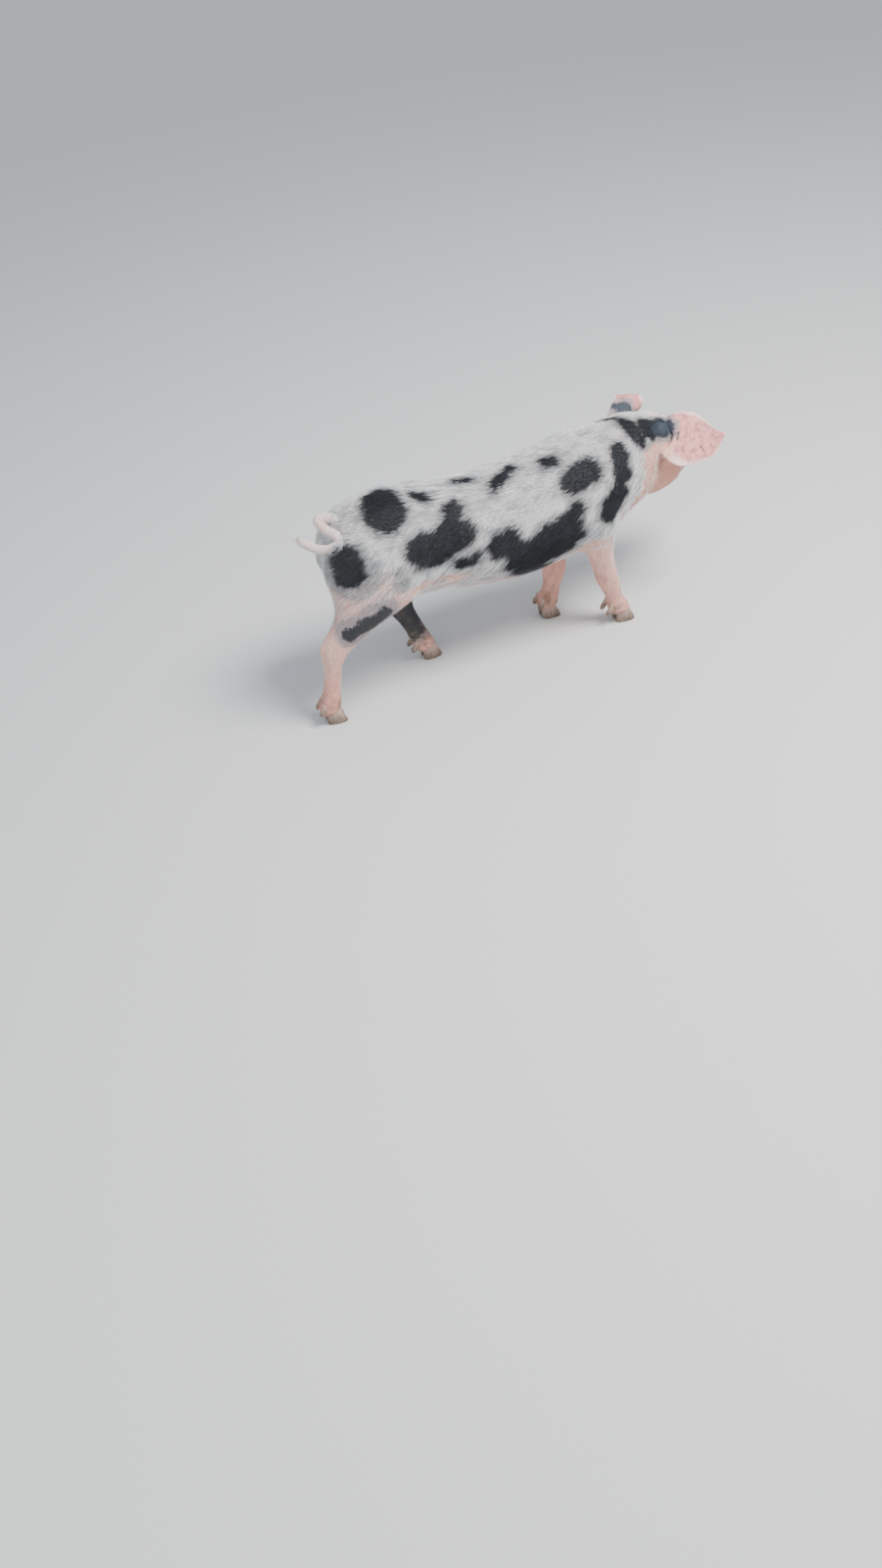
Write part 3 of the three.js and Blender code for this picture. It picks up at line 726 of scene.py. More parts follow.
def mouthAndSnoutForms(local, across):  # the line of the mouth, its lips, and the folds and rim of the snout
    x, y, z = folded(local).T
    mouth = facePlan["mouth"]
    inMouth = smoothStep(-y, -mouth["corner"] - 3, -mouth["corner"] + 3)
    inMouth = inMouth * smoothStep(y, mouth["front"] - 1, mouth["front"] + 6)
    above = z - mouthLevel(y)
    upper, lower = facePlan["lips"]
    push = -inMouth * mouth["depth"] * bell(above, mouth["width"])
    push += inMouth * upper * bell(above - 3.8, 2.8)
    push += inMouth * lower * bell(above + 3.2, 2.2)

    folds = facePlan["snoutFolds"]
    inFolds = smoothStep(y, folds["from"] - 2, folds["from"] + 6)
    inFolds *= smoothStep(-y, -folds["to"] - 16, -folds["to"])
    inFolds *= smoothStep(z, -10, 14) * (0.65 + 0.5 * waves(local, 17, 6))
    bend = 2.2 * waves(local, 30, 5) + 0.004 * x ** 2
    push += inFolds * folds["height"] * np.sin(2 * np.pi * (y + bend) / folds["spacing"])

    disc = facePlan["disc"]
    behind = smoothStep(-y, 198, 206) * (across > 0.75)
    push -= behind * disc["groove"] * bell(y - disc["middle"][1] - 11, 2.2)
    push += behind * disc["rim"] * bell(y - disc["middle"][1] - 4.5, 3.2)
    return push


def shapeDisc(local, away, across):
    # The flat of the snout: dished, with a raised rim, a furrow down its middle and two nostrils.
    x, y, z = local.T.copy()
    front = smoothStep(-y, 212, 217) * smoothStep(-away[:, 1], 0.3, 0.7)
    y += front * facePlan["disc"]["dish"] * (1 - smoothStep(across, 0.35, 0.85))
    width, depth = facePlan["furrow"]
    y += front * depth * bell(x, width) * smoothStep(-z, -6, 14)
    size, height = facePlan["grain"]
    y += front * height * waves(np.stack([x, y, z], 1), size, 8)
    nostril = facePlan["nostril"]
    for side in (-1, 1):
        lean = np.radians(nostril["lean"] * side)
        dx, dz = x - side * nostril["side"], z - nostril["up"]
        u = dx * np.cos(lean) + dz * np.sin(lean)
        w = dz * np.cos(lean) - dx * np.sin(lean)
        e = np.hypot(u / nostril["half"][0], w / nostril["half"][1])
        y += front * nostril["deep"] * np.sqrt(np.clip(1 - e ** 2, 0, 1)) * (e < 1)
        y -= front * nostril["rim"] * bell(e - 1.22, 0.2)
    return np.stack([x, y, z], 1)


def shapeLids(local, side):
    # A dome over the eyeball, with an almond opening and a fold above and below.
    eye = facePlan["eye"]
    middle, axes = eyeAxes(side)
    x, y, z = ((local - middle / mm) @ axes).T
    radius = eyeRadius / mm + eye["lid"]
    spread = np.hypot(x / 1.15, y)
    atEye = (z > 0) * (z < eye["reach"]) * (spread < eye["reach"])
    near = atEye * (1 - smoothStep(spread, 0.5 * eye["reach"], eye["reach"]))
    dome = np.sqrt(np.clip(radius ** 2 - x ** 2 - y ** 2, 9, None))
    height = z + near * (dome - z)
    for way, size, halfHigh in ((1, 1.0, 8.6), (-1, 0.6, 8.0)):  # the upper fold, then the lower
        ring = np.hypot(x / 11.5, y / halfHigh)
        onSide = size * smoothStep(way * y, 0, 4) * near
        height += onSide * (eye["crest"] * bell(ring - 1.28, 0.14) - eye["fold"] * bell(ring - 1, 0.1))
    gape = lidGape(x) * np.where(y > 0, 1.15, 0.85)
    inside = (1 - smoothStep(np.abs(y) - gape, -0.5, 0.35)) * (np.abs(x) < eye["half"][0])
    rim = bell(np.abs(y) - gape - 0.9, 0.6) * (spread < 9)
    z = np.where(atEye, height + eye["rim"] * rim - eye["sunk"] * inside, z)
    return np.stack([x, y, z], 1) @ axes.T + middle / mm


def shapeFace(points, normals):
    # The broad forms and the mouth along the normals, then the disc and the lids.
    local = toHead(points) / mm
    away = toHead(points + normals * mm) / mm - local  # the normals in the head's frame
    disc = facePlan["disc"]
    across = np.hypot(local[:, 0] / disc["half"][0], (local[:, 2] - disc["middle"][2]) / disc["half"][1])
    onHead = smoothStep(-local[:, 1], -40, 20) * (np.abs(local[:, 0]) < 75)
    push = faceForms(local) + mouthAndSnoutForms(local, across)
    local = shapeDisc(local + away * (push * onHead)[:, None], away, across)
    for side in (-1, 1):
        local = shapeLids(local, side)
    return fromHead(local * mm)


# Where the skin gets finer faces, in the head's frame and in metres.
finePlan = {
    "share": 0.4,                       # of head or trotter, past which every face is split
    "muzzle": (-0.166, 0.05),           # in front of this y, and so far from the middle
    "lips": {"from": -0.118, "to": -0.17, "near": 0.012, "out": 0.06},
    "lipLine": {"from": -0.122, "to": -0.213, "near": 0.0045, "out": 0.06},
    "eyes": (0.025, 0.0105),            # how far round each eye, the first time and the second
    "nostrils": ((0.0105, -0.2205, 0.0025), 0.0085),
    "smooth": ((0, -0.11, 0), 0.135, 0.065, 4),  # middle, reach, how far out, and rounds of smoothing
}


def alongLips(local, plan):
    y, above = local[:, 1], local[:, 2] - facePlan["mouth"]["height"] * mm
    near = (y < plan["from"]) & (y > plan["to"]) & (np.abs(above) < plan["near"])
    return near & (np.abs(local[:, 0]) < plan["out"])


def refineWhereNeeded(skin):
    # Finer faces on the head and feet, finer still round the mouth, snout and eyes.
    plan = finePlan
    eyes = [eyeFront(side) for side in (-1, 1)]
    shares = regionShares(skin.data)
    refine(skin, shares[:, regionNumber["head"]] + shares[:, regionNumber["trotter"]] > plan["share"])
    local = toHead(vertexArray(skin.data))
    muzzle = (local[:, 1] < plan["muzzle"][0]) & (np.abs(local[:, 0]) < plan["muzzle"][1])
    refine(skin, muzzle | alongLips(local, plan["lips"]) | closeTo(local, eyes, plan["eyes"][0]))
    local = toHead(vertexArray(skin.data))
    nostril, reach = plan["nostrils"]
    nostrils = closeTo(folded(local), [nostril], reach)
    refine(skin, alongLips(local, plan["lipLine"]) | nostrils | closeTo(local, eyes, plan["eyes"][1]))
    local = toHead(vertexArray(skin.data))
    middle, reach, out, rounds = plan["smooth"]
    near = closeTo(local, [middle], reach) & (np.abs(local[:, 0]) < out)
    setVertices(skin.data, relax(vertexArray(skin.data), edgeArray(skin.data), 0.5 * near, rounds))


def buildSkin():
    skin = buildBase()
    report(f"skin base: {len(skin.data.polygons)} faces")
    growOn(skin, [buildEar(name) for name in earNames] + [buildTail()])
    refineWhereNeeded(skin)
    mesh = skin.data
    report(f"ears and tail joined, head refined: {len(mesh.polygons)} faces")
    for shape in (shapeBody, shapeFeet):
        setVertices(mesh, shape(vertexArray(mesh), vertexArray(mesh, "normal")))
    shares = regionShares(mesh)
    depth = regional(shares, "depth") * mm
    setVertices(mesh, vertexArray(mesh) - vertexArray(mesh, "normal") * depth[:, None])
    normals = relax(vertexArray(mesh, "normal"), edgeArray(mesh), 0.5, 3)
    setVertices(mesh, shapeFace(vertexArray(mesh), unit(normals)))
    shadeSmooth(mesh)
    for name, share in zip(regions, shares.T):
        store(mesh, "share_" + name, share)
    report("skin shaped")
    return skin


skin = buildSkin()
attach(skin, "root")
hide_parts(*sum(fleshNodes.values(), []))


# Black patches as thick strokes: from and to, as x from the midline to the pig's left, y and z, and how far
# the black reaches from the stroke, in millimetres.
blackPatches = {
    "rumpTop":        [(-22, 275, 430), (-51, 284, 418), 39],
    "rumpSmall":      [(-22, 207, 423), (-35, 193, 418), 14],
    "ham":            [(-87, 380, 364), (-93, 381, 348), 32],
    "spine":          [(0, 113, 410), (-2, 93, 409), 14],
    "midBack":        [(-18, 6, 410), (-32, 42, 406), 13],
    "midBackBlob":    [(-31, 44, 406), (-38, 55, 402), 12],
    "midBackLow":     [(-45, 59, 399), (-56, 64, 394), 7],
    "backFront":      [(-39, -55, 414), (-40, -67, 415), 14],
    "flank":          [(-95, 234, 346), (-96, 200, 336), 34],
    "flankFront":     [(-96, 200, 336), (-92, 153, 352), 30],
    "flankLobe":      [(-86, 166, 370), (-66, 153, 394), 19],
    "flankShoulder":  [(-94, 220, 350), (-84, 180, 366), 16],
    "flankBelow":     [(-98, 157, 293), (-100, 134, 296), 15],
    "bellyRear":      [(-103, 76, 308), (-103, 62, 307), 29],
    "bellyMiddle":    [(-103, 36, 268), (-108, -60, 300), 33],
    "bellyFront":     [(-106, -72, 318), (-104, -88, 334), 18],
    "bellyElbow":     [(-107, -72, 300), (-106, -78, 280), 26],
    "bellyChest":     [(-100, -4, 244), (-98, -70, 256), 20],
    "bellyLow":       [(-101, 56, 256), (-97, 16, 242), 19],
    "bellyUnder":     [(-88, 32, 228), (-74, -14, 208), 25],
    "shoulder":       [(-84, -90, 384), (-80, -131, 389), 25],
    "neckTop":        [(-62, -203, 398), (-79, -203, 358), 21],
    "neckMiddle":     [(-80, -200, 358), (-87, -188, 333), 18],
    "neckLow":        [(-90, -184, 324), (-95, -164, 306), 30],
    "napeTail":       [(24, -218, 428), (8, -238, 429), 6],
    "nape":           [(-9, -246, 426), (-38, -262, 398), 17],
    "poll":           [(-17, -284, 404), (-9, -322, 390), 21],
    "gaskin":         [(-85, 400, 210), (-98, 338, 237), 19],
    "leftShoulder":   [(84, -118, 372), (92, -92, 340), 24],
    "leftRibs":       [(99, 20, 332), (103, 72, 300), 32],
    "leftRibsLobe":   [(92, 70, 345), (74, 86, 388), 15],
    "leftFlank":      [(98, 184, 332), (95, 222, 300), 23],
    "leftRump":       [(80, 316, 394), (90, 332, 368), 25],
    "leftHam":        [(88, 396, 326), (92, 384, 300), 22],
    "leftNeck":       [(70, -192, 376), (88, -190, 322), 19],
    "leftBelly":      [(66, 118, 222), (86, 146, 246), 20],
    "leftElbow":      [(98, -30, 268), (96, -4, 250), 17],
    "leftBack":       [(46, 196, 414), (64, 214, 402), 12],
}
greyPatches = {  # pigment in the skin, under white hair
    "groin":          [(-107, 292, 296), (-105, 283, 318), 9],
    "ham":            [(-90, 384, 352), (-95, 376, 338), 42],
    "gaskin":         [(-85, 400, 212), (-98, 338, 239), 27],
    "leftGroin":      [(104, 262, 280), (100, 270, 276), 7],
}
slatePatches = {  # blue-black skin under thin hair at the roots of the ears, in the head's frame
    "leftEarRoot":    [(40, -14, 52), (58, -10, 66), 17],
    "leftEarSide":    [(58, -6, 66), (72, 4, 74), 11],
    "rightEarRoot":   [(-42, 12, 55), (-46, -13, 56), 18],
}
mudMarks = {  # dried mud on the right ear, in the head's frame
    "streak":         [(-71, -27, 47), (-75, -18, 35), 2.6],
    "smear":          [(-59, -18, 36), (-69, -21, 43), 2.3],
    "dash":           [(-106, -61, 22), (-112, -66, 13), 2.2],
    "tipDot":         [(-111, -109, 34), (-112, -108, 32), 2.0],
    "rimDot":         [(-118, -96, 18), (-118, -95, 17), 2.0],
    "lobeDot":        [(-100, -22, 3), (-100, -21, 2), 2.1],
    "rearDot":        [(-75, 0, 17), (-76, 1, 15), 1.8],
}
blackShank = (97, 205, 42)         # the heights between which a hind leg is black, and its reach
coatEdges = [(4.5, 26), (2.2, 8)]  # how deep the ragged edge of a patch is, and the size of its waves


def legPoint(leg, height):  # on a leg's axis, from the midline, in millimetres
    x, y, _ = legAxis(leg, height * mm)
    return (x - midline) / mm, y / mm, height


def strokesField(points, strokes):  # distance to the edge of the nearest stroke, negative inside it
    far = [strokeDistance(points, start, end) - reach for start, end, reach in strokes.values()]
    return np.min(far, axis=0)


def spotField(points, rightEar):
    # Distance in millimetres to the nearest black patch, negative inside. Over a grey patch it is a small
    # positive number, so that the skin is tinted and the hair stays white. Only the root of the right ear is
    # black.
    body = toBody(points)
    low, high, reach = blackShank
    shank = [legPoint("hind_left", low), legPoint("hind_left", high), reach]
    spot = strokesField(body, {**blackPatches, "shank": shank})
    spot = np.minimum(spot + 45 * rightEar, strokesField(toHead(points) / mm, slatePatches))
    spot = spot + sum(depth * waves(body, size, 11 + size) for depth, size in coatEdges)
    grey = strokesField(body, greyPatches) + 3 * waves(body, 20, 3)
    return np.clip(np.minimum(spot, np.maximum(grey, 5)), -30, 30)


# How much of the skin the coat hides, from 0 to 1, where it is tender or dirty, and where shade is painted
# under the right ear's lobe.
coverPlan = {
    "flanks": (215, 290),          # the heights between which the coat closes over the flanks
    "hams": 100,                   # how much higher that is over the hams
    "belly": 0.42,
    "groin": [(100, 232, 268), (50, 105, 34), 0.92],
    "shoulders": [(95, -135, 242), (45, 55, 36), 0.68],
    "legs": (0.28, 0.46),          # at the foot and at the top
    "cheeks": 0.34,
    "muzzle": 0.25,
    "crown": 0.95,
    "throat": 0.5,
    "jowlEdge": (230, 262),        # how far forward the white coat of the neck ends, below the ears
    "ears": 0.5,
    "earRoots": 0.45,
    "tail": 0.85,
}


def between(low, high, share):
    return low + (high - low) * share


def coverField(points, shares):
    plan, share = coverPlan, dict(zip(regions, shares.T))
    body, local = toBody(points), toHead(points) / mm
    y, height, forward = body[:, 1], body[:, 2], -local[:, 1]
    trunk = smoothStep(height - plan["hams"] * smoothStep(y, 200, 340), *plan["flanks"])
    trunk = between(plan["belly"], 1, trunk)
    for middle, reach, loss in (plan["groin"], plan["shoulders"]):
        trunk = trunk * (1 - loss * hump(folded(body), middle, reach))
    throat = between(plan["throat"], 1, smoothStep(height, 260, 345))
    onJowl = smoothStep(-y + 9 * waves(body, 34, 71), *plan["jowlEdge"])
    throat = between(throat, plan["cheeks"], onJowl * smoothStep(-height, -400, -384))
    legs = between(*plan["legs"], smoothStep(height, 100, 240))
    crown = smoothStep(local[:, 2] + 14 * smoothStep(forward, 20, 80), 30, 54)
    head = between(plan["cheeks"], plan["crown"], crown)
    head = between(head, plan["muzzle"], smoothStep(forward, 130, 175))
    cover = (share["trunk"] * trunk + share["neck"] * throat + (share["leg"] + share["trotter"]) * legs
             + share["head"] * head + share["ear"] * plan["ears"] + share["tail"] * plan["tail"])
    return between(cover, plan["earRoots"], slateField(local))


def slateField(local):  # 1 on the blue-black roots of the ears
    return 1 - smoothStep(strokesField(local, slatePatches), -9, 7)


def warmField(points):  # 1 where the skin is a warmer pink: cheeks, jowls and throat
    return np.clip(1.3 * hump(folded(toHead(points) / mm), (50, 30, -40), (60, 95, 75)), 0, 1)


def tenderField(points):  # 1 on the rims of the eyes, the lips, the snout and the skin behind the ears
    local = toHead(points) / mm
    x, y, z = folded(local).T
    lips = bell(z - mouthLevel(y), 3.5) * smoothStep(-y, 125, 135) * (x < 60)
    fields = [smoothStep(-y, 204, 211), lips, 0.9 * hump(folded(local), (55, 34, 25), (14, 15, 12))]
    for side in (-1, 1):
        far = np.linalg.norm(local - eyeFront(side) / mm, axis=1)
        fields.append(1 - smoothStep(far, 6, 12))
    return np.max(fields, axis=0)


def stainAndShadeField(points):  # dried earth on the feet and a little on the legs, back and snout, and painted shade with a little dirt under the right ear's lobe
    body, local = toBody(points), toHead(points) / mm
    height = body[:, 2]
    patchy = 0.5 + 0.5 * waves(body, 30, 21)
    feet = (1 - smoothStep(height, 18, 105)) * (0.55 + 0.45 * patchy)
    legs = (1 - smoothStep(height, 100, 250)) * 0.35 * smoothStep(patchy, 0.45, 0.9)
    back = 0.55 * hump(body, (-55, 111, 396), (24, 30, 20)) * smoothStep(patchy, 0.2, 0.7)
    snout = 0.4 * smoothStep(-local[:, 1], 170, 215) * patchy
    # painted shade on the jowl under the right ear's lobe, with a little dirt in it
    fold = 0.9 * hump(local, (-61, 9, -8), (9, 11, 18)) * smoothStep(patchy, 0.0, 0.4)
    return np.clip(feet + legs + back + snout + fold, 0, 1)


pathPlaces = np.linspace(0, 1, 60)  # where the midlines of ears and tail are looked up


def earPlace(points, name):  # the share of an ear's length at each point, and its place across, from -1 to 1
    path, ahead, _, _ = earAxes(name, pathPlaces)
    local = toHead(points) / mm
    nearest = nearestOf(local, path)
    wide = unit(np.cross(earPlan[name]["facing"], ahead)) * earPlan[name]["side"]
    across = ((local - path[nearest]) * wide[nearest]).sum(1)
    u = pathPlaces[nearest]
    places, inner, outer = np.array(earPlan[name]["outline"]).T
    return u, across / np.where(across > 0, np.interp(u, places, outer), np.interp(u, places, inner))


def earRims(points, shares):  # 1 along the rims of the ears
    ears = shares[:, regionNumber["ear"]]
    rims = np.zeros(len(points))
    for name in earNames:
        chosen = (ears > 0.3) & (toHead(points)[:, 0] * earPlan[name]["side"] > 0)
        u, v = earPlace(points[chosen], name)
        rims[chosen] = np.maximum(smoothStep(np.abs(v), 0.72, 1.0), smoothStep(u, 0.9, 1.0)) * ears[chosen]
    return rims


def paintSkin(mesh):
    points = vertexArray(mesh)
    local = toHead(points)
    shares = np.stack([stored(mesh, "share_" + name) for name in regions], 1)
    fields = {
        "spot": spotField(points, shares[:, regionNumber["ear"]] * (local[:, 0] < 0)),
        "cover": coverField(points, shares),
        "tender": tenderField(points),
        "stainAndShade": stainAndShadeField(points),
        "slate": slateField(local / mm),
        "warm": warmField(points),
        "mud": np.clip(strokesField(local / mm, mudMarks), -5, 20),
        "rim": earRims(points, shares),
        "snout": smoothStep(-local[:, 1], 0.206, 0.2125),
    }
    for name, values in fields.items():
        store(mesh, name, values)
    report("skin painted")


paintSkin(skin.data)


# Node helpers for materials

def newMaterial(name):
    material = bpy.data.materials.new(name)
    material.use_nodes = True
    return material, material.node_tree, material.node_tree.nodes["Principled BSDF"]


def setInputs(tree, node, inputs):  # gives a node's inputs values, or links them to other nodes
    for key, value in inputs.items():
        if isinstance(value, bpy.types.NodeSocket):
            tree.links.new(value, node.inputs[key])
        else:
            node.inputs[key].default_value = value


def addNode(tree, kind, inputs=None, **settings):
    node = tree.nodes.new("ShaderNode" + kind)
    for key, value in settings.items():
        setattr(node, key, value)
    setInputs(tree, node, inputs or {})
    return node


def objectPlace(tree):
    return addNode(tree, "TexCoord").outputs["Object"]


def attribute(tree, name):
    return addNode(tree, "Attribute", attribute_name=name).outputs["Fac"]


def maths(tree, operation, a, b, c=None, clamp=False):
    inputs = {0: a, 1: b} if c is None else {0: a, 1: b, 2: c}
    return addNode(tree, "Math", inputs, operation=operation, use_clamp=clamp).outputs[0]


def times(tree, a, *factors):
    for factor in factors:
        a = maths(tree, "MULTIPLY", a, factor)
    return a


def step(tree, value, low, high, start=0.0, end=1.0):  # an S curve from start, at low, to end, at high
    inputs = {"Value": value, "From Min": low, "From Max": high, "To Min": start, "To Max": end}
    return addNode(tree, "MapRange", inputs, interpolation_type="SMOOTHSTEP").outputs["Result"]


def mixed(tree, factor, a, b):
    a, b = ((*colour, 1) if isinstance(colour, tuple) else colour for colour in (a, b))
    return addNode(tree, "Mix", {0: factor, 6: a, 7: b}, data_type="RGBA").outputs[2]


def layered(tree, colour, layers):  # a colour with others laid over it in turn, each by its mask
    for mask, over in layers:
        colour = mixed(tree, mask, colour, over)
    return colour


def noise(tree, place, scale, detail=3.0, roughness=0.55):
    inputs = {"Vector": place, "Scale": scale, "Detail": detail, "Roughness": roughness}
    return addNode(tree, "TexNoise", inputs).outputs["Fac"]


def cells(tree, place, scale):  # distance to the nearest of many scattered points
    inputs = {"Vector": place, "Scale": scale, "Randomness": 1.0}
    return addNode(tree, "TexVoronoi", inputs).outputs["Distance"]


def stretched(tree, place, turn, scale):  # Object coordinates turned and scaled, for streaks
    return addNode(tree, "Mapping", {"Vector": place, "Rotation": turn, "Scale": scale}).outputs["Vector"]


def bumped(tree, layers):  # bumps one over another: the height, distance and strength of each
    normal = None
    for height, distance, strength in layers:
        inputs = {"Height": height, "Distance": distance, "Strength": strength}
        if normal:
            inputs["Normal"] = normal
        normal = addNode(tree, "Bump", inputs).outputs["Normal"]
    return normal


skinColours = {
    "pink": (0.78, 0.43, 0.35),
    "flush": (0.68, 0.31, 0.23),
    "pale": (0.78, 0.70, 0.665),     # under the white coat
    "tender": (0.62, 0.25, 0.21),
    "ear": (0.70, 0.29, 0.28),
    "earBlush": (0.38, 0.105, 0.115),
    "earRim": (0.92, 0.70, 0.66),
    "cheek": (0.57, 0.25, 0.155),
    "black": (0.024, 0.025, 0.030),
    "slate": (0.028, 0.038, 0.056),  # blue-black skin at the roots of the ears
    "grey": (0.20, 0.20, 0.225),     # at the edge of the pigment
    "speck": (0.09, 0.06, 0.06),
    "fleck": (0.16, 0.07, 0.07),
    # dried earth, also used for the painted shade under the right ear's lobe
    "earthAndShade": (0.20, 0.135, 0.088),
    "mud": (0.045, 0.045, 0.045),
}


def skinMaterial():
    material, tree, shader = newMaterial("bareSkin")
    colours = skinColours
    place = objectPlace(tree)
    names = ("cover", "share_ear", "share_leg", "warm", "rim", "tender", "slate", "stainAndShade", "mud", "snout")
    cover, ear, legs, warm, rim, tender, slate, stainAndShade, mud, snout = (attribute(tree, name) for name in names)
    broad = noise(tree, place, 14, 3)
    mottle = noise(tree, place, 95, 4)
    blush = step(tree, noise(tree, place, 75, 5, 0.68), 0.42, 0.66)

    # small dark specks on the ears and legs, and larger flecks on the ears
    some = step(tree, noise(tree, place, 45, 2), 0.52, 0.66)
    specked = times(tree, some, maths(tree, "MAXIMUM", ear, times(tree, legs, 0.6)))
    specks = times(tree, step(tree, cells(tree, place, 210.0), 0.30, 0.14), specked)
    flecks = step(tree, noise(tree, place, 130, 5, 0.7), 0.635, 0.67)

    # pigment: black where the hair is black, and grey a little way round it
    ragged = maths(tree, "MULTIPLY_ADD", noise(tree, place, 160, 3), 9.0, -4.5)
    spot = maths(tree, "ADD", attribute(tree, "spot"), ragged)
    pigment = mixed(tree, slate, colours["black"], colours["slate"])
    # dried earth, and painted shade under the right ear's lobe
    earthAndShade = times(tree, stainAndShade, step(tree, mottle, 0.3, 0.6))
    dried = step(tree, noise(tree, place, 500, 4), 0.3, 0.7, -1.2, 1.2)
    dried = maths(tree, "ADD", mud, dried)
    colour = layered(tree, colours["pink"], [
        (step(tree, broad, 0.38, 0.66), colours["flush"]),
        (step(tree, cover, 0.75, 0.2, 0.0, 0.45), colours["flush"]),
        (step(tree, cover, 0.55, 1.0, 0.0, 0.75), colours["pale"]),
        (step(tree, mottle, 0.52, 0.75, 0.0, 0.45), colours["flush"]),
        (times(tree, warm, step(tree, mottle, 0.25, 0.6, 0.5, 0.95)), colours["cheek"]),
        (times(tree, ear, 0.7), colours["ear"]),
        (times(tree, ear, blush, 0.78), colours["earBlush"]),
        (times(tree, rim, 0.75), colours["earRim"]),
        (times(tree, tender, 0.75), colours["tender"]),
        (specks, colours["speck"]),
        (times(tree, flecks, times(tree, ear, 0.85)), colours["fleck"]),
        (step(tree, spot, 18.0, 5.0, 0.0, 0.8), colours["grey"]),
        (step(tree, spot, 4.0, -2.0), pigment),
        # dried earth, and the painted shade under the right ear's lobe
        (times(tree, earthAndShade, 0.85), colours["earthAndShade"]),
        (step(tree, dried, 0.5, -0.3, 0.0, 0.9), colours["mud"]),
    ])

    # fine creases and pores, the lie of the shortest hairs, and the crinkles of the ears
    creases = noise(tree, stretched(tree, place, (0.5, 0, 0), (260.0, 700.0, 260.0)), 1, 4)
    legHair = noise(tree, stretched(tree, place, (0, 0, 0), (900.0, 900.0, 90.0)), 1, 3)
    bodyHair = noise(tree, stretched(tree, place, (0.4, 0, 0), (900.0, 100.0, 900.0)), 1, 3)
    onLegs = maths(tree, "ADD", legs, attribute(tree, "share_trotter"), clamp=True)
    hair = addNode(tree, "Mix", {0: onLegs, 2: bodyHair, 3: legHair}, data_type="FLOAT").outputs[0]
    crinkles = times(tree, noise(tree, place, 150, 5, 0.62), ear)
    setInputs(tree, shader, {
        "Base Color": colour,
        "Normal": bumped(tree, [(creases, 0.0007, 0.6), (cells(tree, place, 620.0), 0.0003, 0.35),
                                (hair, 0.0006, 0.5), (crinkles, 0.003, 0.6)]),
        "Roughness": step(tree, times(tree, snout, mottle), 0.0, 0.6, 0.62, 0.3),
        "Specular IOR Level": 0.42,
        "Subsurface Weight": 0.12,
        "Subsurface Radius": (1.0, 0.35, 0.2),
        "Subsurface Scale": 0.004,
    })
    return material


bareSkin = skinMaterial()
skin.data.materials.append(bareSkin)


# Teats: two rows under the belly, in millimetres.
teatPlan = {
    "count": 7,
    "row": (-92, 205),   # y of the first and of the last
    "out": (23, 31),     # how far from the midline they are
    "height": 4.8,
    "radius": 3.1,
    "sunk": 1.6,
    "aim": 100,          # the height from which each place is looked for, upwards
    "grid": (12, 16),
}


def buildTeats():
    # Each is a short cone with a rounded end: its radius shrinks along it, and to nothing at its tip.
    plan = teatPlan
    tree = treeOf(skin)
    along, around = plan["grid"]
    share = np.linspace(0, 1, along)[:, None]
    angle = np.linspace(0, 2 * np.pi, around, endpoint=False)[None, :]
    radius = plan["radius"] * (1.15 - 0.55 * share ** 0.6) * np.sqrt(np.clip(1 - share ** 5, 0.02, 1))
    height = (plan["height"] + plan["sunk"]) * share - plan["sunk"]
    q = np.stack([radius * np.cos(angle), radius * np.sin(angle), height + 0 * angle], -1) * mm
    pieces = []
    for y, out in zip(np.linspace(*plan["row"], plan["count"]), np.linspace(*plan["out"], plan["count"])):
        for side in (-1, 1):
            start = Vector((midline + side * out * mm, y * mm, plan["aim"] * mm))
            place, up, _, _ = tree.ray_cast(start, Vector((0, 0, 1)))
            across = unit(np.cross(up, (0, 1, 0)))
            axes = np.stack([across, np.cross(up, across), up], 1)
            pieces.append(closedTube("teat", (q.reshape(-1, 3) @ axes.T + place).reshape(q.shape)))
    teats = joinPieces("teats", pieces)
    for name, value in {"spot": 30, "mud": 20, "cover": 0.2, "tender": 0.45}.items():
        store(teats.data, name, value)
    shadeSmooth(teats.data)
    teats.data.materials.append(bareSkin)
    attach(teats, "root")


buildTeats()
report("teats made")


# The eyes: brown, with a clear bulge over the iris. Angles from the way the eye looks, in radians.
eyePlan = {
    "grid": (70, 72),
    "shrink": 0.985,
    "bulge": (0.75 * mm, 0.55),    # height and width
    "iris": 0.70,
    "pupil": 0.34,
}
eyeColours = {
    "brown": (0.030, 0.014, 0.008),
    "fibre": (0.085, 0.042, 0.020),
    "rim": (0.012, 0.008, 0.006),  # of the iris
    "white": (0.56, 0.45, 0.40),
    "vein": (0.5, 0.16, 0.12),
    "pupil": (0.002, 0.002, 0.002),
}


def buildEye(name, side):
    # A ball about the way it looks: v goes from its front pole to its back, and u round it. The radius is
    # the eyeball's, plus a bell-shaped bulge at the front.
    middle, axes = eyeAxes(side)
    along, around = eyePlan["grid"]
    v = (np.linspace(0.012, 1, along, endpoint=False) ** 1.4 * np.pi)[:, None]
    u = np.linspace(0, 2 * np.pi, around, endpoint=False)[None, :]
    height, width = eyePlan["bulge"]
    radius = eyeRadius * eyePlan["shrink"] + height * bell(v, width)
    out = radius * np.sin(v)
    q = np.stack([out * np.cos(u), out * np.sin(u), radius * np.cos(v) + 0 * u], -1)
    piece = closedTube(name + "ball", fromHead(q.reshape(-1, 3) @ axes.T + middle).reshape(q.shape))
    mesh = piece.data
    local = (toHead(vertexArray(mesh)) - middle) @ axes
    store(mesh, "ring", np.arccos(np.clip(unit(local)[:, 2], -1, 1)))
    turn = unit(local[:, :2])
    store(mesh, "turnX", turn[:, 0])
    store(mesh, "turnY", turn[:, 1])
    shadeSmooth(mesh)
    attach(piece, "root")
    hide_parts(name)
    return piece


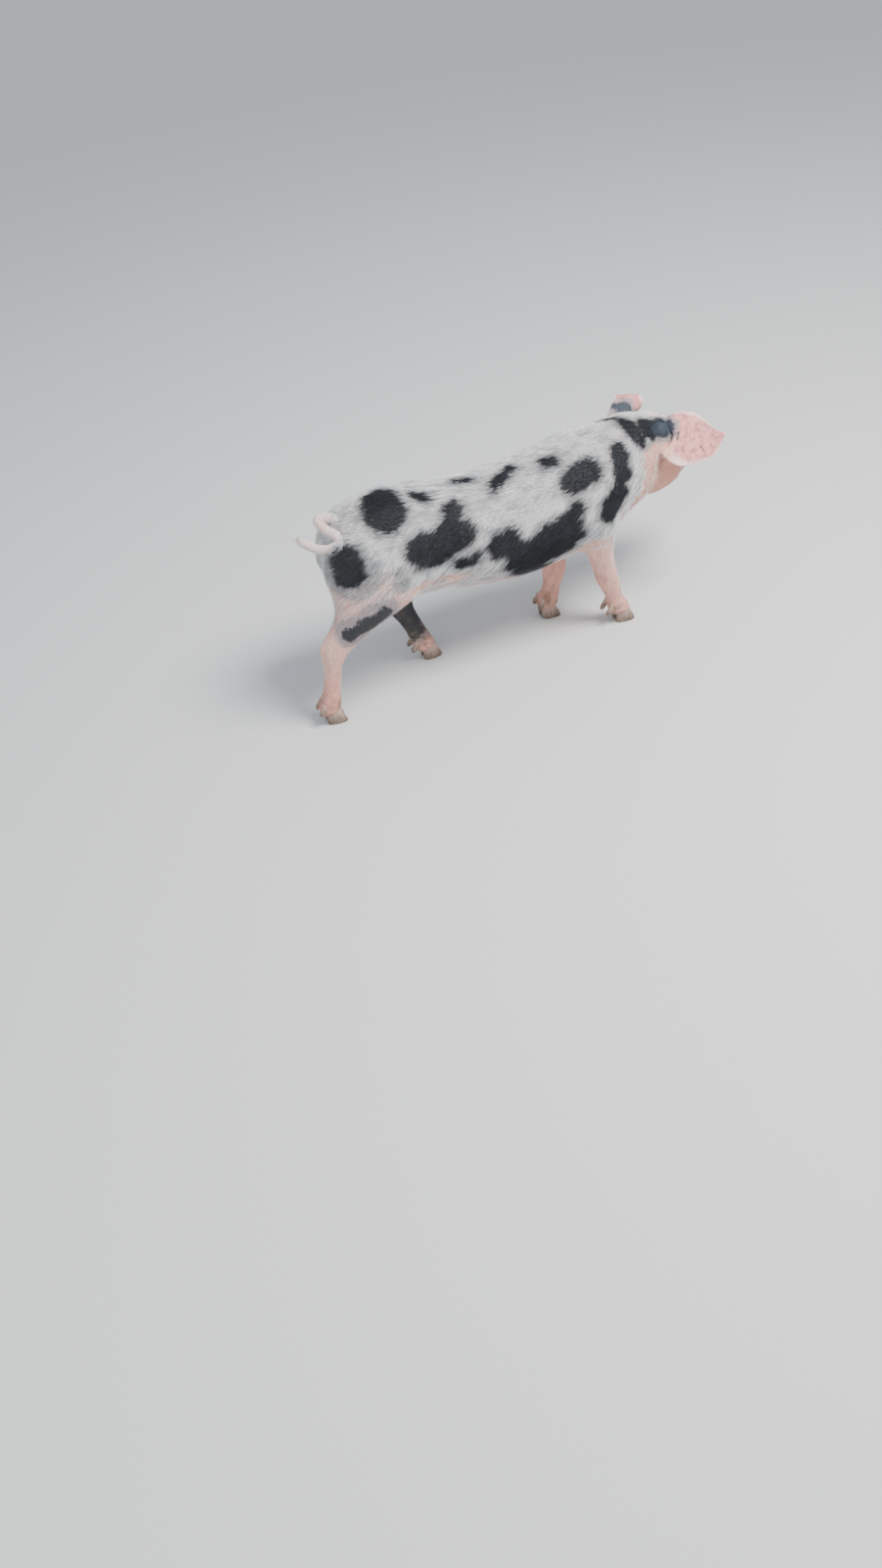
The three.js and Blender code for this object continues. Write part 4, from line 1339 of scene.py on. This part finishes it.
def eyeMaterial():
    material, tree, shader = newMaterial("wetEye")
    colours = eyeColours
    ring = attribute(tree, "ring")
    turn = {"X": attribute(tree, "turnX"), "Y": attribute(tree, "turnY"), "Z": ring}
    fibres = noise(tree, addNode(tree, "CombineXYZ", turn).outputs[0], 9, 3)
    veins = step(tree, noise(tree, objectPlace(tree), 420, 4), 0.5, 0.7)
    iris, pupil = eyePlan["iris"], eyePlan["pupil"]
    colour = layered(tree, colours["brown"], [
        (step(tree, fibres, 0.35, 0.7), colours["fibre"]),
        (step(tree, ring, iris - 0.16, iris), colours["rim"]),
        (step(tree, ring, iris, iris + 0.1), colours["white"]),
        (times(tree, veins, step(tree, ring, iris, iris + 0.2), 0.6), colours["vein"]),
        (step(tree, ring, pupil + 0.035, pupil), colours["pupil"]),
    ])
    setInputs(tree, shader, {
        "Base Color": colour,
        "Roughness": 0.12,
        "Specular IOR Level": 0.2,
        "Coat Weight": 0.8,
        "Coat Roughness": 0.03,
    })
    return material


eyes = [buildEye("eye_right", -1), buildEye("eye_left", 1)]
wetEye = eyeMaterial()
for eye in eyes:
    eye.data.materials.append(wetEye)
report("eyes made")


# Claws and dewclaws
clawPlan = {
    "voxel": 1.15 * mm,
    "swell": 0.25 * mm,
    "rounds": 10,              # of smoothing
    "sole": 6 * mm,            # up to this height the smoothed claw is let down again to the floor
    "raise": 6 * mm,           # how far the horn runs up under the skin
    # in millimetres
    "rings": (0.14, 3.6, 0.8),  # depth and spacing of the growth rings, and how far they waver
    "dents": (0.12, 5),        # depth and size
    "wear": (0.5, 7),          # depth and size of the chips of the worn edge
}
hornColours = {
    "light": (0.34, 0.25, 0.19),
    "dark": (0.17, 0.12, 0.09),
    "top": (0.60, 0.38, 0.32),
    "dirt": (0.12, 0.08, 0.055),
}


def buildClaw(node):
    # The solid's own shape with its facets rounded, its top carried up under the skin, and rings round it.
    piece = remeshed(copyOfNodes(node + "_horn", [node], clawPlan["swell"]), clawPlan["voxel"])
    mesh = piece.data
    low, high = (corner[2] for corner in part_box(node))
    points = relax(vertexArray(mesh), edgeArray(mesh), 0.5, clawPlan["rounds"])
    height = points[:, 2]
    height += (low - height.min()) * (1 - smoothStep(height, low, low + clawPlan["sole"]))
    setVertices(mesh, points)
    share = np.clip((height - low) / (high - low), 0, 1)
    depth, spacing, waver = clawPlan["rings"]
    ring = np.sin(2 * np.pi * (height / mm + waver * waves(points / mm, 16, 31)) / spacing)
    push = depth * ring * smoothStep(share, 0.08, 0.3)
    depth, size = clawPlan["dents"]
    push += depth * waves(points / mm, size, 32)
    depth, size = clawPlan["wear"]
    push -= depth * smoothStep(waves(points / mm, size, 33), 0.2, 0.9) * (1 - smoothStep(share, 0.02, 0.2))
    push *= height > low + 0.8 * mm  # the sole stays flat
    points = points + vertexArray(mesh, "normal") * push[:, None] * mm
    points[:, 2] = np.maximum(points[:, 2] + clawPlan["raise"] * smoothStep(share, 0.72, 1), low)
    setVertices(mesh, points)
    store(mesh, "share", share)
    return piece


def hornMaterial():
    material, tree, shader = newMaterial("trotterHorn")
    colours = hornColours
    place = objectPlace(tree)
    share = attribute(tree, "share")
    streaks = noise(tree, stretched(tree, place, (0, 0, 0), (420.0, 420.0, 26.0)), 1, 4)
    dirt = step(tree, noise(tree, place, 120, 4), 0.3, 0.6)
    dirt = times(tree, step(tree, share, 0.7, 0.0), dirt)
    setInputs(tree, shader, {
        "Base Color": layered(tree, colours["light"], [
            (step(tree, streaks, 0.35, 0.65), colours["dark"]),
            (step(tree, share, 0.55, 1.0, 0.0, 0.65), colours["top"]),
            (dirt, colours["dirt"]),
        ]),
        "Roughness": step(tree, dirt, 0.0, 0.8, 0.38, 0.85),
        "Normal": bumped(tree, [(streaks, 0.0005, 0.5), (noise(tree, place, 700, 3), 0.0003, 0.4)]),
    })
    return material


horn = hornMaterial()
for leg in legNames:
    nodes = [f"{leg}_{kind}_{place}" for kind in ("claw", "dewclaw") for place in ("inner", "outer")]
    claws = joinPieces(leg + "_claws", [buildClaw(node) for node in nodes])
    shadeSmooth(claws.data)
    claws.data.materials.append(horn)
    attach(claws, "root")
    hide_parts(*nodes)
report("claws made")


# The coat: thin tapering tufts that lie along the body.
coatPlan = {
    "candidates": 900000,          # random places from which the roots are thinned out
    "seed": 5,
    "piece": 18500,                # most tufts in one piece
    "sunk": 0.6,                   # how deep a root sits, in millimetres
    "swirl": (0.30, 90, 0.16),     # how far the lie wanders, over what distance, and by chance
    "clump": (11, 2.8, 17),        # size of a lock, and how far its tips draw together at this length
    "drawnOut": 0.8,               # how far the locks are drawn out along the lie, from 0 to 1
    "lock": (0.5, 0.13),           # how much brighter a lock is painted in its middle, with painted shade between locks, and by chance
    "stray": 0.035,                # share of hairs that stand out, twice as far
    "ridge": (26, 1.25),           # half width of the longer hair along the back, and how much longer
    "muzzle": (110, 185, 0.5),     # between these places on the head the hair loses half its length
    "edge": 2.5,                   # how far black and white hairs mix at the edge of a patch
    "halo": (2, 17, 0.4),          # from and to which distance, and how grey, white hairs are by a patch
    "margin": 0.005,               # of a coat's map
    "patch": 0.0015,               # half the size of a tuft's patch on it
}
barePlan = {  # where no hair grows, in millimetres
    "disc": -208,                  # in front of this
    "lips": (1.8, 60),             # how near the line of the mouth, and how far out
    "eyes": 8.5,
    "claws": (22, 1.5),            # round them, and over their tops
}
coatPieces = {
    "head": ["head"],
    "ears": ["ear"],
    "neck": ["neck"],
    "trunk": ["trunk"],
    "tail": ["tail"],
    "legs": ["leg", "trotter"],
}
trunkLie = {"back": (0, 1, 0), "side": (0, 1, -0.62)}
legLie = (0, 0.2, -1)
headLie = (0, 1, -0.22)


def midlineOf(name):  # points along an ear or the tail, and the way it runs
    if name == "tail":
        path = tailPath(pathPlaces)[0]
    else:
        path = fromHead(earAxes(name, pathPlaces)[0] * mm)
    return path, unit(np.gradient(path, axis=0))


def lieOf(points, normals, shares):
    # Back and down over the body, down the legs, back over the head, and outwards along the ears and the
    # tail: each region's direction, weighted by its share and laid into the surface.
    share = dict(zip(regions, shares.T))
    upright = np.abs(normals[:, 2:])
    lie = (unit(trunkLie["back"]) * upright + unit(trunkLie["side"]) * (1 - upright))
    lie = lie * (share["trunk"] + share["neck"])[:, None]
    lie += unit(legLie) * (share["leg"] + share["trotter"])[:, None]
    lie += (headTurn @ unit(headLie)) * share["head"][:, None]
    for name in (*earNames, "tail"):
        path, ahead = midlineOf(name)
        here = share[name.split("_")[0]]
        near = (here > 0.02) & ((points > path.min(0) - 0.05) & (points < path.max(0) + 0.05)).all(1)
        lie[near] += ahead[nearestOf(points[near], path)] * here[near][:, None]
    return unit(lie - normals * (lie * normals).sum(1, keepdims=True))


def locks(points, shares, upright):
    # Noise drawn out along the lie, so that it makes locks: high in the middle of one, low between two.
    share = dict(zip(regions, shares.T))

    def drawnOut(direction, seed):
        along = coatPlan["drawnOut"] * (points @ unit(direction))[:, None] / mm * unit(direction)
        return waves(points / mm - along, coatPlan["clump"][0], seed, 14)

    body = drawnOut(trunkLie["back"], 41) * upright + drawnOut(trunkLie["side"], 42) * (1 - upright)
    legs = drawnOut(legLie, 43) * (share["leg"] + share["trotter"])
    head = drawnOut(headTurn @ unit(headLie), 44) * (share["head"] + share["ear"] + share["tail"])
    return body * (share["trunk"] + share["neck"]) + legs + head


def scatterRoots(mesh, draw):
    # Random places, evenly over the skin, then at most one in each cell of a grid as wide as the spacing.
    corners = triangleArray(mesh)
    points, normals = vertexArray(mesh), vertexArray(mesh, "normal")
    names = ["share_" + name for name in regions] + ["cover", "spot", "stainAndShade", "slate"]
    values = np.stack([stored(mesh, name) for name in names], 1)
    a, b, c = (points[corners[:, k]] for k in range(3))
    area = np.cumsum(np.linalg.norm(np.cross(b - a, c - a), axis=1))
    chosen = corners[np.searchsorted(area, draw.random(coatPlan["candidates"]) * area[-1])]
    root, side = np.sqrt(draw.random(len(chosen))), draw.random(len(chosen))
    weights = np.stack([1 - root, root * (1 - side), root * side], 1)[:, :, None]
    places, ups, fields = ((array[chosen] * weights).sum(1) for array in (points, normals, values))
    shares, cover = fields[:, :len(regions)], fields[:, len(regions)]
    spacing = regional(shares, "spacing") * mm / np.sqrt(np.clip(cover, 0.15, 1))
    primes = (73856093, 19349663, 83492791)  # they give each cell a number of its own
    cellNumbers = np.floor(places / spacing[:, None]).astype(np.int64) * primes
    kept = np.unique(np.bitwise_xor.reduce(cellNumbers, axis=1), return_index=True)[1]
    kept = kept[~bareAt(places[kept])]
    return places[kept], unit(ups[kept]), shares[kept], fields[kept, len(regions):]


def bareAt(points):  # True on the snout's flat, the lips, the eyes and round the claws
    local = toHead(points) / mm
    x, y, z = folded(local).T
    near, out = barePlan["lips"]
    bare = y < barePlan["disc"]
    bare |= (y < facePlan["mouth"]["corner"]) & (np.abs(z - mouthLevel(y)) < near) & (x < out)
    bare |= closeTo(local, [eyeFront(side) / mm for side in (-1, 1)], barePlan["eyes"])
    claws = [claw[:2] for leg in legNames for claw in clawMiddles(leg)]
    around, over = (measure * mm for measure in barePlan["claws"])
    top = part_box("fore_right_claw_inner")[1][2]
    return bare | (closeTo(points[:, :2], claws, around) & (points[:, 2] < top + over))


def growCoat(mesh):
    # One row for each tuft: where it stands, which way it lies, and its measures.
    draw = np.random.default_rng(coatPlan["seed"])
    roots, ups, shares, fields = scatterRoots(mesh, draw)
    cover, spot, stainAndShade, slate = fields.T
    count = len(roots)
    head, forward = shares[:, regionNumber["head"]], -toHead(roots)[:, 1] / mm
    lie = lieOf(roots, ups, shares)
    wander, distance, loose = coatPlan["swirl"]
    turn = wander * waves(roots / mm, distance, 51) + loose * draw.normal(size=count)
    side = np.cross(ups, lie)
    lie = lie * np.cos(turn)[:, None] + side * np.sin(turn)[:, None]
    side = np.cross(ups, lie)

    upright = np.abs(ups[:, 2])
    here = locks(roots, shares, upright)
    ahead, behind = (locks(roots + side * way * mm, shares, upright) for way in (1.2, -1.2))
    length = regional(shares, "length") * (0.45 + 0.55 * cover)
    length = length * np.clip(draw.normal(1, 0.15, count), 0.6, 1.45)
    start, end, loss = coatPlan["muzzle"]
    length *= 1 - loss * head * smoothStep(forward, start, end)
    half, longer = coatPlan["ridge"]
    onRidge = bell((roots[:, 0] - midline) / mm, half) * smoothStep(ups[:, 2], 0.3, 0.9)
    onRidge = onRidge * (shares[:, regionNumber["trunk"]] + shares[:, regionNumber["neck"]])
    length *= 1 + (longer - 1) * onRidge
    rise = regional(shares, "rise") * draw.uniform(0.55, 1.35, count)
    rise *= 1 + (draw.random(count) < coatPlan["stray"])
    width = regional(shares, "width") * draw.uniform(0.7, 1.15, count) * (0.8 + 0.2 * cover)
    black = spot + coatPlan["edge"] * draw.normal(size=count) < 0
    near, far, grey = coatPlan["halo"]
    black = np.maximum(black, grey * (1 - smoothStep(spot, near, far)))
    brighter, chance = coatPlan["lock"]
    # a painted highlight in the middle of each lock and painted shade between locks, with some chance
    shade = np.clip(0.5 + brighter * here + chance * draw.normal(size=count), 0, 1)
    _, together, fullLength = coatPlan["clump"]
    drawn = together * np.clip((ahead - behind) * 2.2, -1, 1) * length / fullLength
    return {
        "root": roots, "up": ups, "lie": lie, "side": side, "length": length, "rise": rise, "width": width,
        "draw": drawn, "black": black, "shade": shade, "stainAndShade": stainAndShade, "slate": slate,
        "part": shares.argmax(1),
    }


# Longer hairs, in millimetres: how many, how long and wide, how much each bends, where their middle is in the
# head's frame, and how far they spread.
longHairs = {
    "lashes":   {"count": 46, "length": (6, 9), "width": 0.28, "rise": 1.8},
    "brows":    {"count": 26, "length": (9, 14), "width": 0.28, "rise": 1.5,
                 "middle": (44, -93, 36), "spread": (3, 9, 2)},
    "whiskers": {"count": 90, "length": (12, 26), "width": 0.26, "rise": 3.0,
                 "middle": (30, -178, -14), "spread": (6, 27, 20)},
    "tail":     {"count": 260, "length": (12, 26), "width": 0.34, "rise": 2.0},
}


def growLongHairs(skin):
    # Lashes along the upper lids, whiskers on the muzzle and chin, bristles over the eyes, the tail's tuft.
    draw = np.random.default_rng(coatPlan["seed"] + 1)
    tree = treeOf(skin)
    rows = []

    def grow(kind, part, places, ways):
        plan = longHairs[kind]
        number = len(places)
        ways = unit(ways + 0.16 * draw.normal(size=ways.shape))
        side = unit(np.cross(ways, draw.normal(size=ways.shape)))
        length = draw.uniform(*plan["length"], number)
        rise = plan["rise"] * draw.uniform(0.3, 1, number)
        same = {"width": plan["width"], "draw": 0, "black": 0, "stainAndShade": 0.1, "slate": 0}
        rows.append({
            "root": places, "up": np.cross(side, ways), "lie": ways, "side": side, "length": length,
            "rise": rise, "shade": draw.uniform(0.5, 1, number),
            "part": np.full(number, regionNumber[part]),
            **{key: np.full(number, float(value)) for key, value in same.items()},
        })

    def onSkin(local):  # the skin's nearest places to places in the head's frame, and its normals there
        found = [tree.find_nearest(place) for place in fromHead(local * mm)]
        return np.array([hit[0] for hit in found]), np.array([hit[1] for hit in found])

    eye, lashes = facePlan["eye"], longHairs["lashes"]
    for side in (-1, 1):
        middle, axes = eyeAxes(side)
        x = np.linspace(-0.85, 0.9, lashes["count"]) * eye["half"][0]
        y = 1.15 * lidGape(x) + 1.0
        z = np.sqrt((eyeRadius / mm + eye["lid"]) ** 2 - x ** 2 - y ** 2)
        places, _ = onSkin(np.stack([x, y, z], 1) @ axes.T + middle / mm)
        ways = unit(np.stack([0.06 * x, 0.45 + 0 * x, 0.9 + 0 * x], 1)) @ axes.T @ headTurn.T
        grow("lashes", "head", places, ways)
        for kind, back in (("brows", 0.6), ("whiskers", 0.7)):
            plan = longHairs[kind]
            shape = (plan["count"], 3)
            stray = draw.normal(size=shape) if kind == "brows" else draw.uniform(-1, 1, shape)
            places, ups = onSkin(np.array(plan["middle"]) * (side, 1, 1) + stray * plan["spread"])
            grow(kind, "head", places, ups + back * headTurn[:, 1])
    path, ahead = midlineOf("tail")
    number = longHairs["tail"]["count"]
    place = draw.integers(int(0.8 * len(path)), len(path), number)  # along its last fifth
    ring = draw.normal(size=(number, 3))
    ring = unit(ring - (ring * ahead[place]).sum(1, keepdims=True) * ahead[place])
    grow("tail", "tail", path[place] + ring * 3 * mm, ahead[place] + 0.28 * ring)
    return {key: np.concatenate([row[key] for row in rows]) for key in rows[0]}


# A tuft's seven corners: the faces between them, and for each corner its share of the length and its place
# on the map.
tuftFaces = [(0, 2, 1), (0, 1, 4), (0, 4, 3), (1, 2, 5), (1, 5, 4), (2, 0, 3), (2, 3, 5),
             (3, 4, 6), (4, 5, 6), (5, 3, 6)]
tuftAlong = [0, 0, 0, 0.5, 0.5, 0.5, 1]
tuftPatch = [(-1, -0.6), (1, -0.6), (0, 1), (-0.5, -0.3), (0.5, -0.3), (0, 0.5), (0, 0)]
tuftCorners = len(tuftAlong)


def tuftMesh(name, tufts, places):
    # Each tuft is a spike with three sides: a triangle at its root, a smaller one on the way, and its tip.
    # It leaves the skin at a slant and lies down; its tip is drawn towards the middle of its lock.
    length, rise, width, drawn = (tufts[key][:, None] * mm for key in ("length", "rise", "width", "draw"))
    root, up, lie, side = (tufts[key] for key in ("root", "up", "lie", "side"))
    flat = [(-0.5, 0.0), (0.5, 0.0), (0.0, 0.42)]
    low = root - up * coatPlan["sunk"] * mm
    mid = root + lie * length * 0.45 + up * rise * 0.72 + side * drawn * 0.35
    tip = root + lie * length + up * rise + side * drawn
    rings = [low + (side * x + up * z) * width for x, z in flat]
    rings += [mid + (side * x + up * z) * width * 0.8 for x, z in flat] + [tip]
    points = np.stack(rings, 1).reshape(-1, 3)
    faces = (np.array(tuftFaces)[None] + tuftCorners * np.arange(len(root))[:, None, None]).reshape(-1, 3)
    mesh = meshOf(name, points, faces)
    for key in ("black", "shade", "stainAndShade", "slate"):
        store(mesh, key, np.repeat(tufts[key], tuftCorners))
    store(mesh, "along", np.tile(tuftAlong, len(root)))
    margin = coatPlan["margin"]
    places = margin + (1 - 2 * margin) * (places - places.min(0)) / np.ptp(places, axis=0)
    spots = (places[:, None] + np.array(tuftPatch)[None] * coatPlan["patch"]).reshape(-1, 2)
    layer = mesh.uv_layers.new(name="OFBake")
    layer.data.foreach_set("uv", spots[faces.ravel()].astype(np.float32).ravel())
    return mesh


def unrolled(points, normals, part):
    # Each point's place on the skin unrolled, along it and round it. The map's scale comes later.
    if part == "head":
        local = toHead(points)
        return np.stack([local[:, 1], np.arctan2(local[:, 0], local[:, 2] + 0.01)], 1)
    if part == "legs":
        middles = np.array([boxMiddle(leg + "_trotter") for leg in legNames])
        flat = (1, 1, 0.2)
        leg = nearestOf(points * flat, middles * flat)
        turn = np.arctan2(normals[:, 0], normals[:, 1]) / (2 * np.pi) + 0.5
        return np.stack([leg + 0.9 * turn, points[:, 2]], 1)
    if part == "ears":
        leftEar = toHead(points)[:, 0] > 0
        place = np.zeros((len(points), 2))
        for name, chosen in (("ear_left", leftEar), ("ear_right", ~leftEar)):
            path, ahead = midlineOf(name)
            nearest = nearestOf(points[chosen], path)
            facing = headTurn @ unit(earPlan[name]["facing"])
            wide = unit(np.cross(facing, ahead[nearest]))
            across = ((points[chosen] - path[nearest]) * wide).sum(1) / 0.2 + 0.5
            outside = (normals[chosen] @ facing) > 0
            across = 0.24 * across + 0.25 * outside + 0.5 * (name == "ear_left")
            place[chosen] = np.stack([pathPlaces[nearest], across], 1)
        return place
    if part == "tail":
        path, _ = midlineOf("tail")
        return np.stack([nearestOf(points, path), np.arctan2(normals[:, 0], normals[:, 2])], 1)
    x, _, z = boxMiddle("trunk")
    return np.stack([points[:, 1], np.arctan2(points[:, 0] - x, points[:, 2] - z)], 1)


coatColours = {
    "white": (0.97, 0.97, 0.96),
    "root": (0.80, 0.755, 0.74),
    "shadow": (0.38, 0.405, 0.43),
    "black": (0.008, 0.010, 0.015),
    "blackLockHighlight": (0.024, 0.028, 0.037),   # painted highlight on the middles of the black locks, and lighter at random
    "slate": (0.020, 0.028, 0.043),
    # dried earth, also used for the painted shade under the right ear's lobe
    "earthAndShade": (0.30, 0.22, 0.15),
}


def coatMaterial():
    material, tree, shader = newMaterial("bristle")
    colours = coatColours
    along, shade, black = (attribute(tree, name) for name in ("along", "shade", "black"))
    white = mixed(tree, step(tree, along, 0.0, 0.6), colours["root"], colours["white"])
    # painted shade between the locks of white hair
    white = mixed(tree, step(tree, shade, 0.56, 0.1, 0.0, 0.76), white, colours["shadow"])
    # black hair with a painted highlight on the middles of its locks
    dark = mixed(tree, step(tree, shade, 0.4, 0.9), colours["black"], colours["blackLockHighlight"])
    dark = mixed(tree, attribute(tree, "slate"), dark, colours["slate"])
    # dried earth on the hairs, and painted shade under the right ear's lobe
    stainAndShade = times(tree, attribute(tree, "stainAndShade"), 0.75)
    setInputs(tree, shader, {
        "Base Color": layered(tree, white, [(black, dark), (stainAndShade, colours["earthAndShade"])]),
        "Roughness": 0.42,
        "Specular IOR Level": 0.5,
        "Sheen Weight": 0.15,
        "Sheen Roughness": 0.4,
    })
    return material


def buildCoat(skin):
    tufts, longer = growCoat(skin.data), growLongHairs(skin)
    tufts = {key: np.concatenate([tufts[key], longer[key]]) for key in tufts}
    bristle = coatMaterial()
    for name, parts in coatPieces.items():
        chosen = np.flatnonzero(np.isin(tufts["part"], [regionNumber[part] for part in parts]))
        chosen = chosen[np.argsort(tufts["root"][chosen, 1], kind="stable")]
        pieces = np.array_split(chosen, int(np.ceil(len(chosen) / coatPlan["piece"])))
        report(f"coat on the {name}: {len(chosen)} tufts")
        for number, rows in enumerate(pieces, 1):
            label = f"coat_{name}" + (f"_{number}" if len(pieces) > 1 else "")
            piece = {key: values[rows] for key, values in tufts.items()}
            coat = newPiece(label, tuftMesh(label, piece, unrolled(piece["root"], piece["up"], name)))
            coat.data.materials.append(bristle)
            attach(coat, "root")


buildCoat(skin)


# Camera, floor and light
view = {
    "place": (-1.9705, 0.8398, 1.5),
    "heading": 17,   # degrees from +X towards -Y
    "pitch": 42,     # degrees down
    "roll": 9,       # degrees clockwise
    "lens": 27.05,   # millimetres
    "film": 36,      # the frame's height, in millimetres
}


def buildCamera():
    heading, pitch, roll = (np.radians(view[k]) for k in ("heading", "pitch", "roll"))
    ahead = np.array([np.cos(heading), -np.sin(heading), 0])
    level = np.array([-np.sin(heading), -np.cos(heading), 0])
    look = np.cos(pitch) * ahead - np.sin(pitch) * np.array([0, 0, 1])
    rise = np.cross(level, look)
    right = np.cos(roll) * level - np.sin(roll) * rise
    data = bpy.data.cameras.new("camera")
    data.lens = view["lens"]
    data.sensor_width = view["film"]
    data.clip_end = 50
    camera = bpy.data.objects.new("camera", data)
    axes = np.stack([right, np.cross(right, look), -look], 1)
    camera.matrix_world = Matrix.Translation(view["place"]) @ Matrix(axes.tolist()).to_4x4()
    bpy.context.scene.collection.objects.link(camera)
    bpy.context.scene.camera = camera


studio = {
    "flat": 6.0,     # metres of level floor round the model
    "reach": 16.0,   # where the sweep ends
    "height": 11.0,  # how high it rises
    "grid": (48, 96),
    "colour": (0.60, 0.595, 0.585),
    "sky": (0.80, 0.89, 1.0),
}
lights = {  # where, towards what, how wide in metres, how strong in watts, and its colour
    "key": [(-1.3, -1.1, 3.0), (0, 0, 0.2), 1.5, 215, (1.0, 0.98, 0.96)],
    "fill": [(-2.4, 2.4, 1.8), (0, 0, 0.2), 2.5, 26, (0.93, 0.97, 1.0)],
}


def buildFloor():
    # A sweep: level round the model, rising smoothly far away; u goes outwards and v round.
    along, around = studio["grid"]
    u = np.linspace(0, 1, along + 1)[1:, None]
    v = np.linspace(0, 2 * np.pi, around, endpoint=False)[None, :]
    radius = studio["reach"] * u
    height = studio["height"] * smoothStep(radius, studio["flat"], studio["reach"] + 4)
    points = np.stack([radius * np.cos(v), radius * np.sin(v), height + 0 * v], -1).reshape(-1, 3)
    i, j = np.meshgrid(np.arange(along - 1), np.arange(around), indexing="ij")
    a, b = i * around + j, i * around + (j + 1) % around
    ringFaces = np.stack([a, a + around, b + around, b], -1).reshape(-1, 4).tolist()
    mesh = bpy.data.meshes.new("floor")
    mesh.from_pydata(points.tolist(), [], [list(range(around))] + ringFaces)
    shadeSmooth(mesh)
    floor = newPiece("floor", mesh)
    material, tree, shader = newMaterial("paleFloor")
    setInputs(tree, shader, {"Base Color": (*studio["colour"], 1), "Roughness": 0.9})
    mesh.materials.append(material)


def buildLight(name, place, target, size, power, colour):
    data = bpy.data.lights.new(name, "AREA")
    data.shape = "DISK"
    data.size = size
    data.energy = power
    data.color = colour
    light = bpy.data.objects.new(name, data)
    aim = (Vector(target) - Vector(place)).to_track_quat("-Z", "Y")
    light.matrix_world = Matrix.Translation(place) @ aim.to_matrix().to_4x4()
    bpy.context.scene.collection.objects.link(light)


def buildSky():
    world = bpy.data.worlds.new("studio")
    world.use_nodes = True
    tree = world.node_tree
    setInputs(tree, tree.nodes["Background"], {"Color": (*studio["sky"], 1), "Strength": 1.0})
    bpy.context.scene.world = world


buildCamera()
buildFloor()
for name, plan in lights.items():
    buildLight(name, *plan)
buildSky()
report("camera, floor and light placed")
